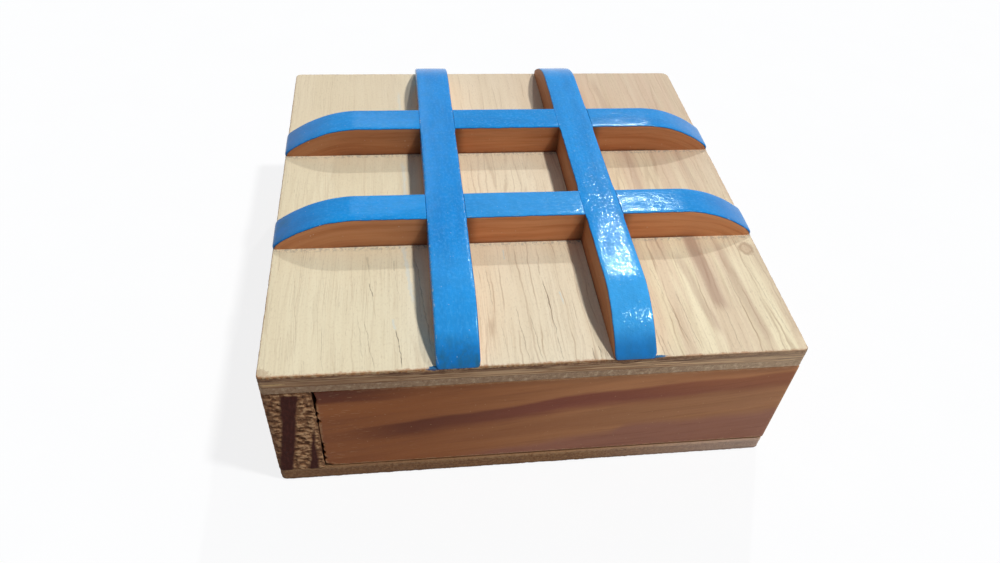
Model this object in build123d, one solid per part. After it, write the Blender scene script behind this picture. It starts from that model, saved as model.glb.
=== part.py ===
from build123d import *
import os

# Tic-tac-toe board made as a small square wooden box, in millimetres.
# Four raised bars divide the top into nine cells, and the front swings out on two pins.
# The origin is the middle of the underside: +X is right, +Z is up, the door faces -Y.

# Sheets and walls
board_width = 120.0
board_depth = 120.0
box_height = 39.1
top_thickness = 5.7
bottom_thickness = 4.1
side_wall_thickness = 10.4
back_wall_thickness = 10.4
corner_radius = 1.2
bottom_corner_radius = 1.5

# Raised bars, lapped into each other where they cross
bar_width = 9.5
bar_height = 8.6
bar_edge = 0.4
bar_end_height = 1.1
long_bar_left_x = -18.5
long_bar_right_x = 19.9
long_bar_curve = 18.0
cross_bar_front_y = -16.5
cross_bar_back_y = 21.1
cross_bar_curve = 20.0
lap_gap = 0.1

# Swinging front
door_thickness = 10.5
door_recess = 0.5
door_end_gap = 0.5
door_back_gap = 0.5
door_running_gap = 0.3
door_edge_radius = 0.5
door_grip_radius = 2.2

# Block on the floor that the free end of the front closes against
stop_width = 6.0
stop_depth = 5.0
stop_height = 5.0
stop_gap = 0.3

# Pins that the front swings on
pin_radius = 1.0
pin_clearance = 0.08
pin_in_door = 11.0
pin_end_space = 0.8
pin_in_top = 3.6
pin_head_radius = 2.0
pin_head_thickness = 0.8

# Flat wire brads that hold the bottom sheet and the back corners
brad_width = 1.25
brad_thickness = 1.0
brad_head_width = 2.2
brad_head_thickness = 0.6
brad_point_length = 1.5
bottom_brad_length = 18.0
bottom_brad_inset = 12.0
corner_brad_length = 20.0
corner_brad_inset = 8.0

# Crosses and noughts kept inside
marker_thickness = 6.0
cross_span = 22.0
cross_arm_width = 5.6
cross_tip_radius = 1.4
nought_radius = 10.0
nought_hole_radius = 4.6
crosses = 5
noughts = 5
store_columns = 3
store_rows = 4
cross_turns = (41.0, 52.0, 38.0, 47.0, 34.0)

# Levels and places that follow from the sizes
board_z = box_height
top_z = box_height - top_thickness
left_x = -board_width / 2
right_x = board_width / 2
front_y = -board_depth / 2
back_y = board_depth / 2
store_left_x = left_x + side_wall_thickness
store_right_x = right_x - side_wall_thickness
store_back_y = back_y - back_wall_thickness
door_front_y = front_y + door_recess
door_back_y = door_front_y + door_thickness
right_wall_front_y = door_back_y + door_back_gap
hinge_x = right_x - door_thickness / 2
hinge_y = door_front_y + door_thickness / 2


def block(low, high):
    size = [b - a for a, b in zip(low, high)]
    middle = [(a + b) / 2 for a, b in zip(low, high)]
    return Pos(*middle) * Box(*size)


# Pins and brads


def hinge_peg(radius, low_z, high_z):
    return Pos(hinge_x, hinge_y, low_z) * extrude(Circle(radius), high_z - low_z)


def upper_pin():
    return hinge_peg(pin_radius, top_z - pin_in_door, top_z + pin_in_top)


def lower_pin():
    head = hinge_peg(pin_head_radius, 0, pin_head_thickness)
    return head + hinge_peg(pin_radius, 0, bottom_thickness + pin_in_door)


def brad(length):
    # A brad that stands on its head, with its chisel point up.
    outline = Polyline(
        (-brad_head_width / 2, 0),
        (brad_head_width / 2, 0),
        (brad_head_width / 2, brad_head_thickness),
        (brad_width / 2, brad_head_thickness),
        (brad_width / 2, length - brad_point_length),
        (0, length),
        (-brad_width / 2, length - brad_point_length),
        (-brad_width / 2, brad_head_thickness),
        (-brad_head_width / 2, brad_head_thickness),
        close=True,
    )
    return extrude(Plane.XZ * make_face(outline), brad_thickness / 2, both=True)


def bottom_brads():
    # Three brads up into each side wall, and two into the back wall.
    left_wall_x = left_x + side_wall_thickness / 2
    right_wall_x = right_x - side_wall_thickness / 2
    places = []
    for x, wall_front_y in ((left_wall_x, front_y), (right_wall_x, right_wall_front_y)):
        first = wall_front_y + bottom_brad_inset
        last = back_y - bottom_brad_inset
        places += [(x, first), (x, (first + last) / 2), (x, last)]
    for share in (0.25, 0.75):
        x = store_left_x + share * (store_right_x - store_left_x)
        places.append((x, back_y - back_wall_thickness / 2))
    return [Pos(x, y, 0) * brad(bottom_brad_length) for x, y in places]


def corner_brads():
    # Two brads through each side wall into the end of the back wall.
    y = back_y - back_wall_thickness / 2
    brads = []
    for z in (bottom_thickness + corner_brad_inset, top_z - corner_brad_inset):
        brads.append(Pos(left_x, y, z) * Rot(0, 90, 0) * brad(corner_brad_length))
        brads.append(Pos(right_x, y, z) * Rot(0, -90, 0) * brad(corner_brad_length))
    return brads


# Box


def rounded_sheet(thickness, radius):
    return extrude(RectangleRounded(board_width, board_depth, radius), thickness)


def top_panel():
    return Pos(0, 0, top_z) * rounded_sheet(top_thickness, corner_radius) - upper_pin()


def bottom_panel():
    return rounded_sheet(bottom_thickness, bottom_corner_radius) - lower_pin() - bottom_brads()


def left_wall():
    wall = block((left_x, front_y, bottom_thickness), (store_left_x, back_y, top_z))
    outer_corners = wall.edges().filter_by(Axis.Z).group_by(Axis.X)[0]
    return fillet(outer_corners, corner_radius) - bottom_brads() - corner_brads()


def right_wall():
    wall = block((store_right_x, right_wall_front_y, bottom_thickness), (right_x, back_y, top_z))
    back_corner = wall.edges().filter_by(Axis.Z).group_by(Axis.X)[-1].sort_by(Axis.Y)[-1]
    return fillet(back_corner, corner_radius) - bottom_brads() - corner_brads()


def back_wall():
    wall = block((store_left_x, store_back_y, bottom_thickness), (store_right_x, back_y, top_z))
    return wall - bottom_brads() - corner_brads()


# Raised bars


def bar_side(length, curve):
    # The flat top falls along a parabola to a low upright end at both ends of the bar.
    end = length / 2
    flat = end - curve
    corner = end - curve / 2
    outline = [
        Line((-end, 0), (end, 0)),
        Line((end, 0), (end, bar_end_height)),
        Bezier((end, bar_end_height), (corner, bar_height), (flat, bar_height)),
        Line((flat, bar_height), (-flat, bar_height)),
        Bezier((-flat, bar_height), (-corner, bar_height), (-end, bar_end_height)),
        Line((-end, bar_end_height), (-end, 0)),
    ]
    return make_face(outline)


def bar(length, curve):
    # A bar along X that lies on the XY plane, with the long edges of its top eased.
    solid = extrude(Plane.XZ * bar_side(length, curve), bar_width / 2, both=True)
    crown = [face for face in solid.faces() if face.normal_at().Z > 0.1]
    rims = [edge for face in crown for edge in face.edges() if abs(edge.center().Y) > bar_width / 4]
    return chamfer(rims, bar_edge)


def lap_notch(x, y, low_z, high_z):
    reach = bar_width / 2 + lap_gap
    return block((x - reach, y - reach, low_z), (x + reach, y + reach, high_z))


def long_bar(x):
    # A bar from front to back, cut from below where it lies over the other two.
    solid = Pos(x, 0, board_z) * Rot(0, 0, 90) * bar(board_depth, long_bar_curve)
    for y in (cross_bar_front_y, cross_bar_back_y):
        solid -= lap_notch(x, y, board_z, board_z + bar_height / 2)
    return solid


def cross_bar(y):
    # A bar from side to side, cut from above where it passes under the long ones.
    solid = Pos(0, y, board_z) * bar(board_width, cross_bar_curve)
    for x in (long_bar_left_x, long_bar_right_x):
        solid -= lap_notch(x, y, board_z + bar_height / 2, board_z + bar_height)
    return solid


# Swinging front


def front_door():
    low = (store_left_x + door_end_gap, door_front_y, bottom_thickness + door_running_gap)
    high = (right_x, door_back_y, top_z - door_running_gap)
    door = block(low, high)
    # The inner corner is an arc about the pin, so that it clears the end of the right wall.
    hinge_corner = door.edges().filter_by(Axis.Z).group_by(Axis.X)[-1].sort_by(Axis.Y)[-1]
    door = fillet(hinge_corner, door_thickness / 2)
    # A finger pulls the door out at the rounded lower corner of its free end.
    grip_corner = door.edges().filter_by(Axis.Y).group_by(Axis.X)[0].sort_by(Axis.Z)[0]
    door = fillet(grip_corner, door_grip_radius)
    door = fillet(door.faces().sort_by(Axis.Y)[0].edges(), door_edge_radius)
    hole_radius = pin_radius + pin_clearance
    hole_depth = pin_in_door + pin_end_space
    lower_hole = hinge_peg(hole_radius, bottom_thickness, bottom_thickness + hole_depth)
    upper_hole = hinge_peg(hole_radius, top_z - hole_depth, top_z)
    return door - lower_hole - upper_hole


def door_stop():
    low = (store_left_x, door_back_y + stop_gap, bottom_thickness)
    return block(low, (low[0] + stop_width, low[1] + stop_depth, low[2] + stop_height))


# Crosses and noughts


def cross_marker():
    arm = RectangleRounded(cross_span, cross_arm_width, cross_tip_radius)
    return extrude(arm + Rot(0, 0, 90) * arm, marker_thickness)


def nought_marker():
    return extrude(Circle(nought_radius) - Circle(nought_hole_radius), marker_thickness)


def store_places():
    # Spots in a grid on the floor of the box, filled row by row from the door.
    width = store_right_x - store_left_x
    depth = store_back_y - door_back_y
    places = []
    for row in range(store_rows):
        for column in range(store_columns):
            x = store_left_x + (column + 0.5) * width / store_columns
            y = door_back_y + (row + 0.5) * depth / store_rows
            places.append(Pos(x, y, bottom_thickness))
    return places


def markers():
    # Crosses and noughts take turns along the grid.
    nodes = {}
    spots = iter(store_places())
    for number in range(max(crosses, noughts)):
        if number < crosses:
            turned = Rot(0, 0, cross_turns[number % len(cross_turns)]) * cross_marker()
            nodes[f"cross_marker_{number + 1}"] = next(spots) * turned
        if number < noughts:
            nodes[f"nought_marker_{number + 1}"] = next(spots) * nought_marker()
    return nodes


# Files, one for each piece


def pieces():
    nodes = {
        "top_panel": top_panel(),
        "bottom_panel": bottom_panel(),
        "left_wall": left_wall(),
        "right_wall": right_wall(),
        "back_wall": back_wall(),
        "front_door": front_door(),
        "door_stop": door_stop(),
        "door_pin_upper": upper_pin(),
        "door_pin_lower": lower_pin(),
        "long_bar_left": long_bar(long_bar_left_x),
        "long_bar_right": long_bar(long_bar_right_x),
        "cross_bar_front": cross_bar(cross_bar_front_y),
        "cross_bar_back": cross_bar(cross_bar_back_y),
        "bottom_brads": Compound(children=bottom_brads()),
        "corner_brads": Compound(children=corner_brads()),
    }
    nodes.update(markers())
    return nodes


os.makedirs("parts", exist_ok=True)
for name, shape in pieces().items():
    shape.label = name
    export_step(shape, f"parts/{name}.step")
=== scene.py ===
import math

import bmesh
import bpy
from mathutils import Matrix, Vector, noise


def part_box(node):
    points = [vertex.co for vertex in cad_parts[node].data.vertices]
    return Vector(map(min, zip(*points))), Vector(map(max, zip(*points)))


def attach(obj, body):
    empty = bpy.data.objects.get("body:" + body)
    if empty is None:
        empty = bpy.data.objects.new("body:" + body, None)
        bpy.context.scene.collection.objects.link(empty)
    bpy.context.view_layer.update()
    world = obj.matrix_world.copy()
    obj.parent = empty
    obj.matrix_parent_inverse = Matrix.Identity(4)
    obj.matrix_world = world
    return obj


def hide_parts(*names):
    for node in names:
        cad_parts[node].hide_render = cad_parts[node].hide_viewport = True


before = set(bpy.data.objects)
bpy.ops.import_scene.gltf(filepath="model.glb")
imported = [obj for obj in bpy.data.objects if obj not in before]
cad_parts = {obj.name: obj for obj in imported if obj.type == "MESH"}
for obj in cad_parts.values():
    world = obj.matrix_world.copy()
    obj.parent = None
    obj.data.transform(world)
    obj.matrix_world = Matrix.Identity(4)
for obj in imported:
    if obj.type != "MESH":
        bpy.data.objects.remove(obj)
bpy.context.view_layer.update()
print("frame loaded,", len(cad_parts), "nodes")

# The looks of a small square wooden box with four blue bars on its lid.
# Lengths are in millimetres here, and newPiece turns them into metres.

mm = 0.001


def corners(node):
    # lowest and highest corner of a CAD node, in millimetres
    low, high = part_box(node)
    return Vector(low) / mm, Vector(high) / mm


def paint(red, green, blue):
    # screen colour 0 to 255 into the linear colour that the shaders use
    def linear(c):
        c /= 255
        return c / 12.92 if c <= 0.04045 else ((c + 0.055) / 1.055) ** 2.4

    return (linear(red), linear(green), linear(blue), 1.0)


def addObject(name, data):
    # stands at the origin, in the scene
    thing = bpy.data.objects.new(name, data)
    bpy.context.scene.collection.objects.link(thing)
    return thing


def clamped(value):
    return min(1.0, max(0.0, value))


def dent(x, y, z):
    # how far a spot is pushed in, from 0 to 1, by smooth noise
    return 0.5 + 0.5 * noise.noise(Vector((x, y, z)))


photoCamera = {
    "place": (-0.02929, -0.16099, 0.16597),
    "right": (0.9915, -0.1147, 0.0617),
    "down": (-0.0376, -0.7050, -0.7082),
    "lens": 27.67,
    "sensor": 36.0,
}

studio = {
    # each lamp: the direction it stands in, its strength and its softness in degrees
    "keyLamp": ((0.42, -0.15, 0.90), 2.16, 4.0),
    "sideLamp": ((0.285, 0.672, 0.684), 0.78, 1.3),
    "glintLamp": ((0.33, 0.73, 0.60), 0.02, 11.0),
    "windowLamp": ((-0.04, 0.81, 0.585), 0.05, 9.0),
    "fill": (0.146, 0.174, 0.228, 1.0),
    "floorSize": 30.0,
    "floorGlow": 0.84,
}


def makeCamera():
    data = bpy.data.cameras.new("photoCamera")
    data.lens = photoCamera["lens"]
    data.sensor_width = photoCamera["sensor"]
    data.sensor_fit = "HORIZONTAL"
    data.clip_start, data.clip_end = 0.005, 50.0
    camera = addObject("photoCamera", data)
    right = Vector(photoCamera["right"]).normalized()
    up = -Vector(photoCamera["down"])
    up = (up - right * up.dot(right)).normalized()
    turn = Matrix((right, up, right.cross(up))).transposed()
    camera.matrix_world = Matrix.Translation(photoCamera["place"]) @ turn.to_4x4()
    bpy.context.scene.camera = camera


def makeLamp(name, toward, strength, softness):
    data = bpy.data.lights.new(name, "SUN")
    data.energy = strength
    data.angle = math.radians(softness)
    addObject(name, data).rotation_euler = Vector(toward).to_track_quat("Z", "Y").to_euler()


class Wires:
    # short calls that add nodes to one tree and join them up

    def __init__(self, tree):
        self.tree = tree

    def node(self, kind, values, **settings):
        node = self.tree.nodes.new(kind)
        for key, value in settings.items():
            setattr(node, key, value)
        for key, value in values.items():
            if isinstance(value, bpy.types.NodeSocket):
                self.tree.links.new(value, node.inputs[key])
            elif value is not None:
                node.inputs[key].default_value = value
        return node

    def add(self, kind, *values, into=None, **settings):
        return self.node("ShaderNode" + kind, {**dict(enumerate(values)), **(into or {})}, **settings)

    def geometry(self, kind, values, **settings):
        return self.node("GeometryNode" + kind, values, **settings).outputs[0]

    def group(self, tree, **values):
        return self.node("ShaderNodeGroup", values, node_tree=tree).outputs

    def maths(self, operation, *values, **settings):
        return self.add("Math", *values, operation=operation, **settings).outputs[0]

    def plus(self, a, b):
        return self.maths("ADD", a, b)

    def minus(self, a, b, **settings):
        return self.maths("SUBTRACT", a, b, **settings)

    def times(self, a, b):
        return self.maths("MULTIPLY", a, b)

    def over(self, a, b):
        return self.maths("DIVIDE", a, b)

    def size(self, value):
        return self.maths("ABSOLUTE", value)

    def most(self, a, b):
        return self.maths("MAXIMUM", a, b)

    def least(self, a, b):
        return self.maths("MINIMUM", a, b)

    def vectors(self, operation, a, b):
        return self.add("VectorMath", a, b, operation=operation).outputs[0]

    def scaled(self, vector, scale):
        return self.add("VectorMath", vector, into={"Scale": scale}, operation="SCALE").outputs[0]

    def length(self, vector):
        return self.add("VectorMath", vector, operation="LENGTH").outputs["Value"]

    def step(self, value, low, high, start=0.0, end=1.0):
        return self.add("MapRange", value, low, high, start, end, interpolation_type="SMOOTHSTEP").outputs[0]

    def hump(self, value, rise, top, drop, end):
        # up from rise to top, and down again from drop to end
        return self.times(self.step(value, rise, top), self.step(value, end, drop))

    def spread(self, value, low, high, start=0.0, end=1.0):
        return self.add("MapRange", value, low, high, start, end).outputs[0]

    def move(self, vector, scale, shift=(0, 0, 0)):
        return self.add("Mapping", vector, shift, None, scale).outputs[0]

    def noise(self, vector, scale=1.0, detail=2.0, roughness=0.5, distortion=0.0):
        values = {"Scale": scale, "Detail": detail, "Roughness": roughness, "Distortion": distortion}
        return self.add("TexNoise", into={"Vector": vector, **values}).outputs[0]

    def ripple(self, reach, *pattern):
        # noise that swings evenly to both sides of nought
        return self.times(self.plus(self.noise(*pattern), -0.5), reach)

    def mix(self, share, first, second):
        return self.add("Mix", into={0: share, 6: first, 7: second}, data_type="RGBA").outputs[2]

    def lay(self, colour, tone, share, strength=None):
        # a tone laid over the colour so far
        if strength is not None:
            share = self.times(share, strength)
        return self.mix(share, colour, tone)

    def between(self, share, first, second):
        return self.add("Mix", into={0: share, 2: first, 3: second}, data_type="FLOAT").outputs[0]

    def ramp(self, value, *stops):
        node = self.add("ValToRGB", value)
        elements = node.color_ramp.elements
        while len(elements) < len(stops):
            elements.new(0.5)
        for element, (place, colour) in zip(elements, stops):
            element.position, element.color = place, colour
        return node.outputs[0]

    def drawn(self, value, spots, low, high):
        # a line drawn through given spots: spots are pairs of (0 to 1 along, height between low and high)
        node = self.add("FloatCurve", into={"Value": value})
        points = node.mapping.curves[0].points
        while len(points) < len(spots):
            points.new(0.5, 0.5)
        for point, (along, rise) in zip(points, spots):
            point.location = (along, (rise - low) / (high - low))
        node.mapping.update()
        return self.spread(node.outputs[0], 0.0, 1.0, low, high)

    def kept(self, label):
        # a number that the mesh keeps on its points
        return self.add("Attribute", attribute_name=label).outputs["Fac"]

    def apart(self, vector):
        return self.add("SeparateXYZ", vector).outputs

    def together(self, x, y, z=0.0):
        return self.add("CombineXYZ", x, y, z).outputs[0]

    def stretched(self, parts, scales):
        return self.together(*(self.times(part, scale) for part, scale in zip(parts, scales)))

    def place(self):
        # the point's own place on the piece, in millimetres
        return self.scaled(self.add("TexCoord").outputs["Object"], 1 / mm)

    def bump(self, height):
        # height is in millimetres
        return self.add("Bump", into={"Strength": 1.0, "Distance": mm, "Height": height}).outputs[0]


def shade(tone, share):
    # the same tone, lighter or darker
    return tuple(c * share for c in tone[:3]) + (1.0,)


def newMaterial(name):
    material = bpy.data.materials.new(name)
    material.use_nodes = True
    material.node_tree.nodes.clear()
    return material, Wires(material.node_tree)


def finishMaterial(wires, colour, roughness, height, shine=0.5, **others):
    # height is the bump in millimetres, shine is how strongly the surface mirrors at a steep look
    values = {"Base Color": colour, "Roughness": roughness, "Normal": wires.bump(height),
              "Specular IOR Level": shine}
    shader = wires.add("BsdfPrincipled", into={**values, **others})
    wires.add("OutputMaterial", shader.outputs[0])


def newGroup(name, inputs, outputs):
    tree = bpy.data.node_groups.new(name, "ShaderNodeTree")
    for label, start in inputs.items():
        kind = "NodeSocketVector" if isinstance(start, tuple) else "NodeSocketFloat"
        socket = tree.interface.new_socket(name=label, in_out="INPUT", socket_type=kind)
        socket.default_value = start
    for label in outputs:
        tree.interface.new_socket(name=label, in_out="OUTPUT", socket_type="NodeSocketFloat")
    given = tree.nodes.new("NodeGroupInput").outputs
    ends = tree.nodes.new("NodeGroupOutput").inputs
    return tree, Wires(tree), given, lambda label, value: tree.links.new(value, ends[label])


def makeWorld():
    world = bpy.data.worlds.new("studioWorld")
    bpy.context.scene.world = world
    world.use_nodes = True
    world.node_tree.nodes.clear()
    wires = Wires(world.node_tree)
    rays = wires.add("LightPath").outputs
    seen = wires.most(rays["Is Camera Ray"], rays["Is Transmission Ray"])
    seen = wires.most(seen, rays["Is Glossy Ray"])
    background = wires.add("Background", wires.mix(seen, studio["fill"], (1, 1, 1, 1)), 1.0)
    wires.add("OutputWorld", background.outputs[0])


def makeFloor():
    half = studio["floorSize"] / 2
    mesh = bpy.data.meshes.new("floor")
    places = [(x * half, y * half, 0) for x, y in ((-1, -1), (1, -1), (1, 1), (-1, 1))]
    mesh.from_pydata(places, [], [(0, 1, 2, 3)])
    floor = addObject("floor", mesh)
    floor.location.z = -0.1 * mm  # a hair below the sheet that stands on it
    material, wires = newMaterial("paleFloor")
    speckle = wires.noise(wires.place(), 0.05, 3)
    paper = wires.ramp(speckle, (0.3, paint(248, 248, 248)), (0.7, paint(252, 252, 251)))
    diffuse = wires.add("BsdfDiffuse", paper)
    glow = wires.add("Emission", (1, 1, 1, 1), 1.0)
    share = wires.times(wires.add("LightPath").outputs["Is Camera Ray"], studio["floorGlow"])
    wires.add("OutputMaterial", wires.add("MixShader", share, diffuse.outputs[0], glow.outputs[0]).outputs[0])
    mesh.materials.append(material)


makeCamera()
for lampName in ("keyLamp", "sideLamp", "glintLamp", "windowLamp"):
    makeLamp(lampName, *studio[lampName])
makeWorld()
makeFloor()
bpy.context.scene.view_settings.view_transform = "Standard"
print("camera, lamps and floor made")


def fibreGroup():
    # straight wood fibres along X: broad streaks, thin dark lines and short pores
    start = {"Vector": (0.0, 0.0, 0.0), "Streak": 0.6, "Line": 1.1, "Length": 0.02}
    tree, w, given, give = newGroup("fibres", start, ["Streaks", "Lines", "Pores"])
    x, y, z = w.apart(given["Vector"])
    sway = w.ripple(3.0, w.stretched((x, y, z), (0.03, 0.05, 0.05)))
    y = w.plus(y, sway)
    length, streak, line = given["Length"], given["Streak"], given["Line"]
    give("Streaks", w.noise(w.stretched((x, y, z), (length, streak, streak)), 1, 4, 0.6))
    fine = w.noise(w.stretched((x, y, z), (length, line, line)), 1, 2, 0.5)
    ridge = w.minus(1.0, w.times(w.size(w.plus(fine, -0.5)), 2.0))
    broken = w.step(w.noise(w.stretched((x, y, z), (0.07, 0.3, 0.3)), 1, 2), 0.4, 0.62)
    give("Lines", w.times(w.step(ridge, 0.9, 0.995), broken))
    dash = w.noise(w.stretched((x, y, z), (0.35, 4.0, 4.0)), 1, 2, 0.5)
    give("Pores", w.step(dash, 0.66, 0.76))
    return tree


def ringGroup():
    # growth rings round a pith along X: a slow darkening that ends sharply
    start = {"Vector": (0.0, 0.0, 0.0), "Pith": (0.0, 0.0, -40.0), "Spacing": 4.0, "Wander": 1.0}
    tree, w, given, give = newGroup("growthRings", start, ["Late"])
    x, y, z = w.apart(w.vectors("SUBTRACT", given["Vector"], given["Pith"]))
    reach = w.maths("SQRT", w.plus(w.times(y, y), w.times(z, z)))
    bend = w.ripple(8.0, w.stretched((x, y, z), (0.009, 0.05, 0.05)))
    small = w.ripple(0.8, w.stretched((x, y, z), (0.025, 0.3, 0.3)))
    sway = w.times(w.plus(bend, small), given["Wander"])
    turns = w.over(w.plus(reach, sway), given["Spacing"])
    turns = w.plus(turns, w.noise(w.stretched((turns, x), (0.5, 0.003)), 1, 1))
    part = w.maths("FRACT", turns)
    strong = w.noise(w.stretched((turns, x), (0.7, 0.012)), 1, 2)
    give("Late", w.times(w.hump(part, 0.2, 0.94, 0.93, 1.0), w.step(strong, 0.3, 0.65, 0.3, 1.0)))
    return tree


def edgeGroup():
    # one near the edges of a box: the middle one of the three distances to its faces is small
    start = {"Vector": (0.0, 0.0, 0.0), "Low": (0.0, 0.0, 0.0), "High": (1.0, 1.0, 1.0), "Width": 0.5}
    tree, w, given, give = newGroup("boxEdge", start, ["Edge"])
    below = w.vectors("SUBTRACT", given["Vector"], given["Low"])
    above = w.vectors("SUBTRACT", given["High"], given["Vector"])
    a, b, c = w.apart(w.vectors("MINIMUM", below, above))
    low = w.least(a, b)
    middle = w.most(low, w.least(w.most(a, b), c))
    ragged = w.ripple(2.2, given["Vector"], 0.9, 4, 0.7)
    depth = w.over(w.size(middle), given["Width"])
    give("Edge", w.step(w.plus(depth, ragged), 1.0, 0.1))
    return tree


def speckGroup():
    # small scattered specks
    start = {"Vector": (0.0, 0.0, 0.0), "Scale": 1.0, "Amount": 0.2, "Radius": 0.25}
    tree, w, given, give = newGroup("specks", start, ["Specks"])
    scaled = w.scaled(given["Vector"], given["Scale"])
    cells = w.add("TexVoronoi", into={"Vector": scaled, "Scale": 1.0})
    chance = w.apart(cells.outputs["Color"])[0]
    chosen = w.maths("LESS_THAN", chance, given["Amount"])
    size = w.times(given["Radius"], w.plus(w.apart(cells.outputs["Color"])[1], 0.35))
    inside = w.minus(1.0, w.over(cells.outputs["Distance"], size), use_clamp=True)
    give("Specks", w.times(chosen, w.step(inside, 0.0, 0.6)))
    return tree


def scratchGroup():
    # short streaks along X
    start = {"Vector": (0.0, 0.0, 0.0), "Length": 0.12, "Thin": 2.2, "Amount": 0.7}
    tree, w, given, give = newGroup("scratches", start, ["Marks"])
    x, y, z = w.apart(given["Vector"])
    value = w.noise(w.stretched((x, y, z), (given["Length"], given["Thin"], given["Thin"])), 1, 1, 0.4)
    patchy = w.noise(given["Vector"], 0.06, 1)
    limit = w.plus(given["Amount"], w.times(w.minus(0.5, patchy), 0.25))
    give("Marks", w.step(value, limit, w.plus(limit, 0.06)))
    return tree


def smudgeGroup():
    # one ragged patch at a given place
    start = {"Vector": (0.0, 0.0, 0.0), "Centre": (0.0, 0.0, 0.0), "Reach": (1.0, 1.0, 1.0), "Ragged": 0.5}
    tree, w, given, give = newGroup("smudge", start, ["Patch"])
    away = w.vectors("SUBTRACT", given["Vector"], given["Centre"])
    away = w.vectors("DIVIDE", away, given["Reach"])
    size = w.length(away)
    torn = w.ripple(w.times(given["Ragged"], 4.0), given["Vector"], 1.1, 4, 0.65)
    give("Patch", w.step(w.plus(size, torn), 1.0, 0.75))
    return tree


def wavered(w, place):
    # the place with wavering X, and in Z how wide a line is here
    x, y, _ = w.apart(place)
    slow = w.ripple(1.5, w.stretched((x, y), (0.1, 0.12)), 1, 3, 0.6)
    quick = w.ripple(0.35, w.stretched((x, y), (0.6, 0.8)), 1, 2)
    uneven = w.spread(w.noise(w.together(w.times(y, 0.7), x), 1, 2), 0.3, 0.7, 0.25, 1.2)
    return w.together(w.plus(x, w.plus(slow, quick)), y, uneven)


def crackGroup():
    # one line along Y that fades at its ends, on a wavered place
    start = {"Vector": (0.0, 0.0, 1.0), "X": 0.0, "From": 0.0, "To": 1.0, "Slope": 0.0, "Width": 0.2}
    tree, w, given, give = newGroup("crack", start, ["Split"])
    x, y, uneven = w.apart(given["Vector"])
    line = w.plus(given["X"], w.times(w.minus(y, given["From"]), given["Slope"]))
    across = w.over(w.size(w.minus(x, line)), w.times(given["Width"], uneven))
    span = w.minus(given["To"], given["From"])
    share = w.over(w.minus(y, given["From"]), span)
    fade = w.hump(share, 0.0, 0.15, 0.85, 1.0)
    give("Split", w.times(w.step(across, 1.0, 0.3), fade))
    return tree


def endGrainGroup():
    # cut ends of fibres: pits, pale specks and short torn ridges
    start = {"Vector": (0.0, 0.0, 0.0), "Scale": 1.0}
    tree, w, given, give = newGroup("endGrain", start, ["Pits", "Pale", "Height"])
    scaled = w.scaled(given["Vector"], given["Scale"])
    rough = w.noise(scaled, 2.2, 4, 0.65, 0.6)
    coarse = w.noise(scaled, 0.8, 2, 0.5, 0.4)
    height = w.plus(w.times(rough, 0.7), w.times(coarse, 0.3))
    give("Pits", w.step(height, 0.47, 0.36))
    give("Pale", w.step(height, 0.56, 0.68))
    give("Height", height)
    return tree


fibres, growthRings, boxEdge, specks = fibreGroup(), ringGroup(), edgeGroup(), speckGroup()
scratches, smudge, crack, endGrain = scratchGroup(), smudgeGroup(), crackGroup(), endGrainGroup()
print("shader groups made")


def newMesh(name, points, faces):
    mesh = bpy.data.meshes.new(name)
    mesh.from_pydata([Vector(p) * mm for p in points], [], faces)
    return mesh


def faceOutwards(mesh):
    shell = bmesh.new()
    shell.from_mesh(mesh)
    bmesh.ops.recalc_face_normals(shell, faces=shell.faces)
    shell.to_mesh(mesh)
    shell.free()


def standAs(name, mesh, body, slot, replaced, sharp=35.0):
    # the mesh as a piece on its body, smooth but for its sharp edges, in the place of its CAD nodes
    mesh.polygons.foreach_set("use_smooth", [True] * len(mesh.polygons))
    mesh.set_sharp_from_angle(angle=math.radians(sharp))
    piece = addObject(name, mesh)
    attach(piece, body)
    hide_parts(*replaced)


def newPiece(name, points, faces, materials, body, slot, replaced, faceSlots=None, marks=None, sharp=35.0):
    # points in millimetres, marks are numbers kept on every point for the materials
    mesh = newMesh(name, points, faces)
    for material in materials:
        mesh.materials.append(material)
    if faceSlots:
        mesh.polygons.foreach_set("material_index", faceSlots)
    for label, values in (marks or {}).items():
        mesh.attributes.new(label, "FLOAT", "POINT").data.foreach_set("value", values)
    mesh.validate()
    faceOutwards(mesh)
    standAs(name, mesh, body, slot, replaced, sharp)


def spaced(length, fine, coarse):
    # places along a side, close together at both ends
    places, here = [0.0], 0.0
    while here < length / 2:
        here += min(coarse, fine + 0.4 * here)
        places.append(min(here, length / 2))
    return places + [length - p for p in reversed(places[:-1])]


def roundedOutline(low, high, radii, gaps, bend=5):
    # an outline with round corners, counter-clockwise from the front left, with its outward directions
    spots = [Vector(p) for p in ((low[0], low[1]), (high[0], low[1]), (high[0], high[1]), (low[0], high[1]))]
    outline = []
    for side in range(4):
        start, end = spots[side], spots[(side + 1) % 4]
        before, after = radii[side], radii[(side + 1) % 4]
        along = (end - start).normalized()
        outward = Vector((along.y, -along.x))
        length = (end - start).length - before - after
        for reach in spaced(length, *gaps[side]):
            outline.append((start + along * (before + reach), outward))
        centre = end - along * after - outward * after
        for k in range(1, bend):
            turn = math.pi / 2 * k / bend
            direction = outward * math.cos(turn) + along * math.sin(turn)
            outline.append((centre + direction * after, direction))
    return outline


def easedLevels(low, high, ease, gap, steps=3):
    # (inset, height) rings from the lower to the upper face, with both rims rounded over
    turns = [math.pi / 2 * k / steps for k in range(steps)]
    lower = [(ease * (1 - math.sin(t)), low + ease * (1 - math.cos(t))) for t in turns]
    count = max(1, round((high - low - 2 * ease) / gap))
    middle = [(0.0, low + ease + (high - low - 2 * ease) * k / count) for k in range(count + 1)]
    return lower + middle + [(inset, low + high - height) for inset, height in reversed(lower)]


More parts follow.
